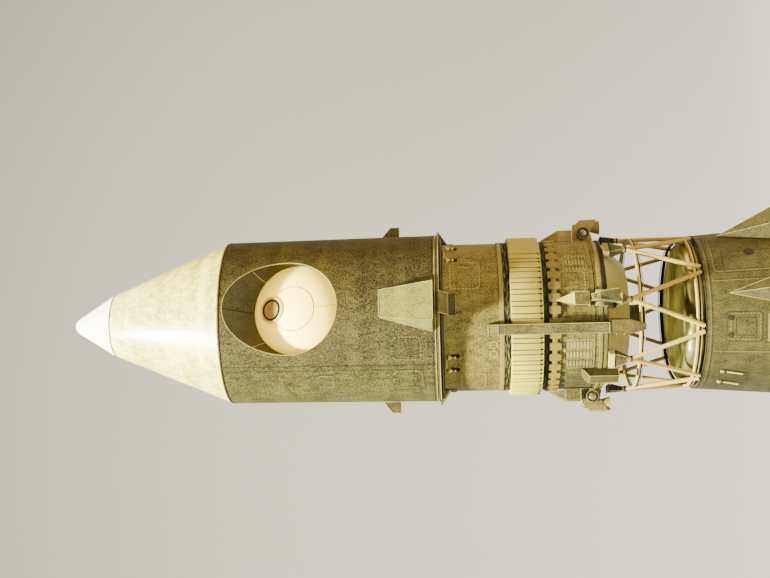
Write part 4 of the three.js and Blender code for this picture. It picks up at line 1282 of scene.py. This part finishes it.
# The fins reach a little way into the card of the tails, as glued plates do.
FIN_PLATE = ((75.4, 12.5), (102.4, 12.5), (102.4, 17), (74.0, 52))
round_boosters("booster_fin_cards", side_plate_mesh("booster_fin", FIN_PLATE, 1.6), pale_card, "fin", "pale")
# The belts are glued to the core and to the boosters: each reaches a little way into both.


def belt(name, inner, outer, low, high):
    """A card hoop round the core."""
    turned(name + "_card", [(inner, low), (outer, low), (outer, high), (inner, high)], mid_card, name, "pale",
           segments=96)


SOCKET = tapered_mesh("head_socket", (3, 28.9, 36.5, 395.6), (3, 28.9, 36.5, 399.6))
belt("booster_head_belt", 28.6, 30.5, 396.6, 399.9)
round_boosters("booster_head_sockets", SOCKET, mid_card)
belt("booster_foot_belt", 20.2, 22.7, 17.0, 22.0)

# Floor, backdrop and lights.


def paper_floor():
    """A pale floor that curves up into a backdrop."""
    width, depth, wall, bend = 8.0, 3.2, 5.0, 1.2
    path = [(-4.0, 0.0), (depth - bend, 0.0)]
    path += [(depth - bend + bend * math.sin(math.radians(a)), bend - bend * math.cos(math.radians(a)))
             for a in range(10, 91, 10)]
    path.append((depth, wall))
    mesh = bpy.data.meshes.new("floor")
    mesh.from_pydata([(x, y, z) for y, z in path for x in (-width / 2, width / 2)], [],
                     [(2 * i, 2 * i + 1, 2 * i + 3, 2 * i + 2) for i in range(len(path) - 1)])
    mesh.shade_smooth()
    floor = bpy.data.objects.new("floor", mesh)
    bpy.context.scene.collection.objects.link(floor)
    material, tree, shader = new_material("floor_paper")
    soft = node(tree, "ShaderNodeTexNoise", {"Scale": 3.0})
    tone = blend(tree, soft.outputs[0], (0.66, 0.655, 0.63, 1), (0.69, 0.685, 0.66, 1))
    tree.links.new(tone, shader.inputs["Base Color"])
    shader.inputs["Roughness"].default_value = 0.9
    mesh.materials.append(material)


def lamp(name, kind, at, aim, power, colour):
    """A light at a place that looks at a point; gives its data."""
    data = bpy.data.lights.new(name, kind)
    data.energy, data.color = power, colour
    light = bpy.data.objects.new(name, data)
    light.location = at
    light.rotation_euler = (Vector(aim) - Vector(at)).to_track_quat("-Z", "Y").to_euler()
    bpy.context.scene.collection.objects.link(light)
    return data


def studio():
    """The floor, a key from the nose side, soft fills and a small beam on the hatch."""
    paper_floor()
    # Places and sizes are in metres, and power is in watts.
    for name, at, aim, size, power, colour in (
        ("key_light", (-0.441, -0.377, 1.95), (0, 0, 0.64), 0.15, 325.0, (1.0, 0.955, 0.76)),
        ("warm_fill", (0.75, -0.30, 0.70), (0, 0, 0.60), 0.7, 7.5, (1.0, 0.56, 0.17)),
        ("top_soft", (0.3, 0.9, 1.9), (0, 0, 0.35), 1.4, 19.0, (1.0, 0.97, 0.90)),
        ("low_front", (-0.9, -1.3, 0.7), (0, 0, 0.30), 1.0, 12.5, (1.0, 0.96, 0.82)),
    ):
        disk = lamp(name, "AREA", at, aim, power, colour)
        disk.shape, disk.size = "DISK", size
    beam = lamp("hatch_light", "SPOT", (-0.12, -0.92, 0.72), (0, -0.027, 0.687), 62.0, (1.0, 0.60, 0.01))
    beam.shadow_soft_size, beam.spot_size, beam.spot_blend = 0.01, math.radians(2.9), 0.6
    world = bpy.data.worlds.new("studio")
    world.use_nodes = True
    sky = world.node_tree.nodes["Background"].inputs
    sky["Color"].default_value = (1.0, 0.86, 0.62, 1)
    sky["Strength"].default_value = 0.2
    bpy.context.scene.world = world


studio()
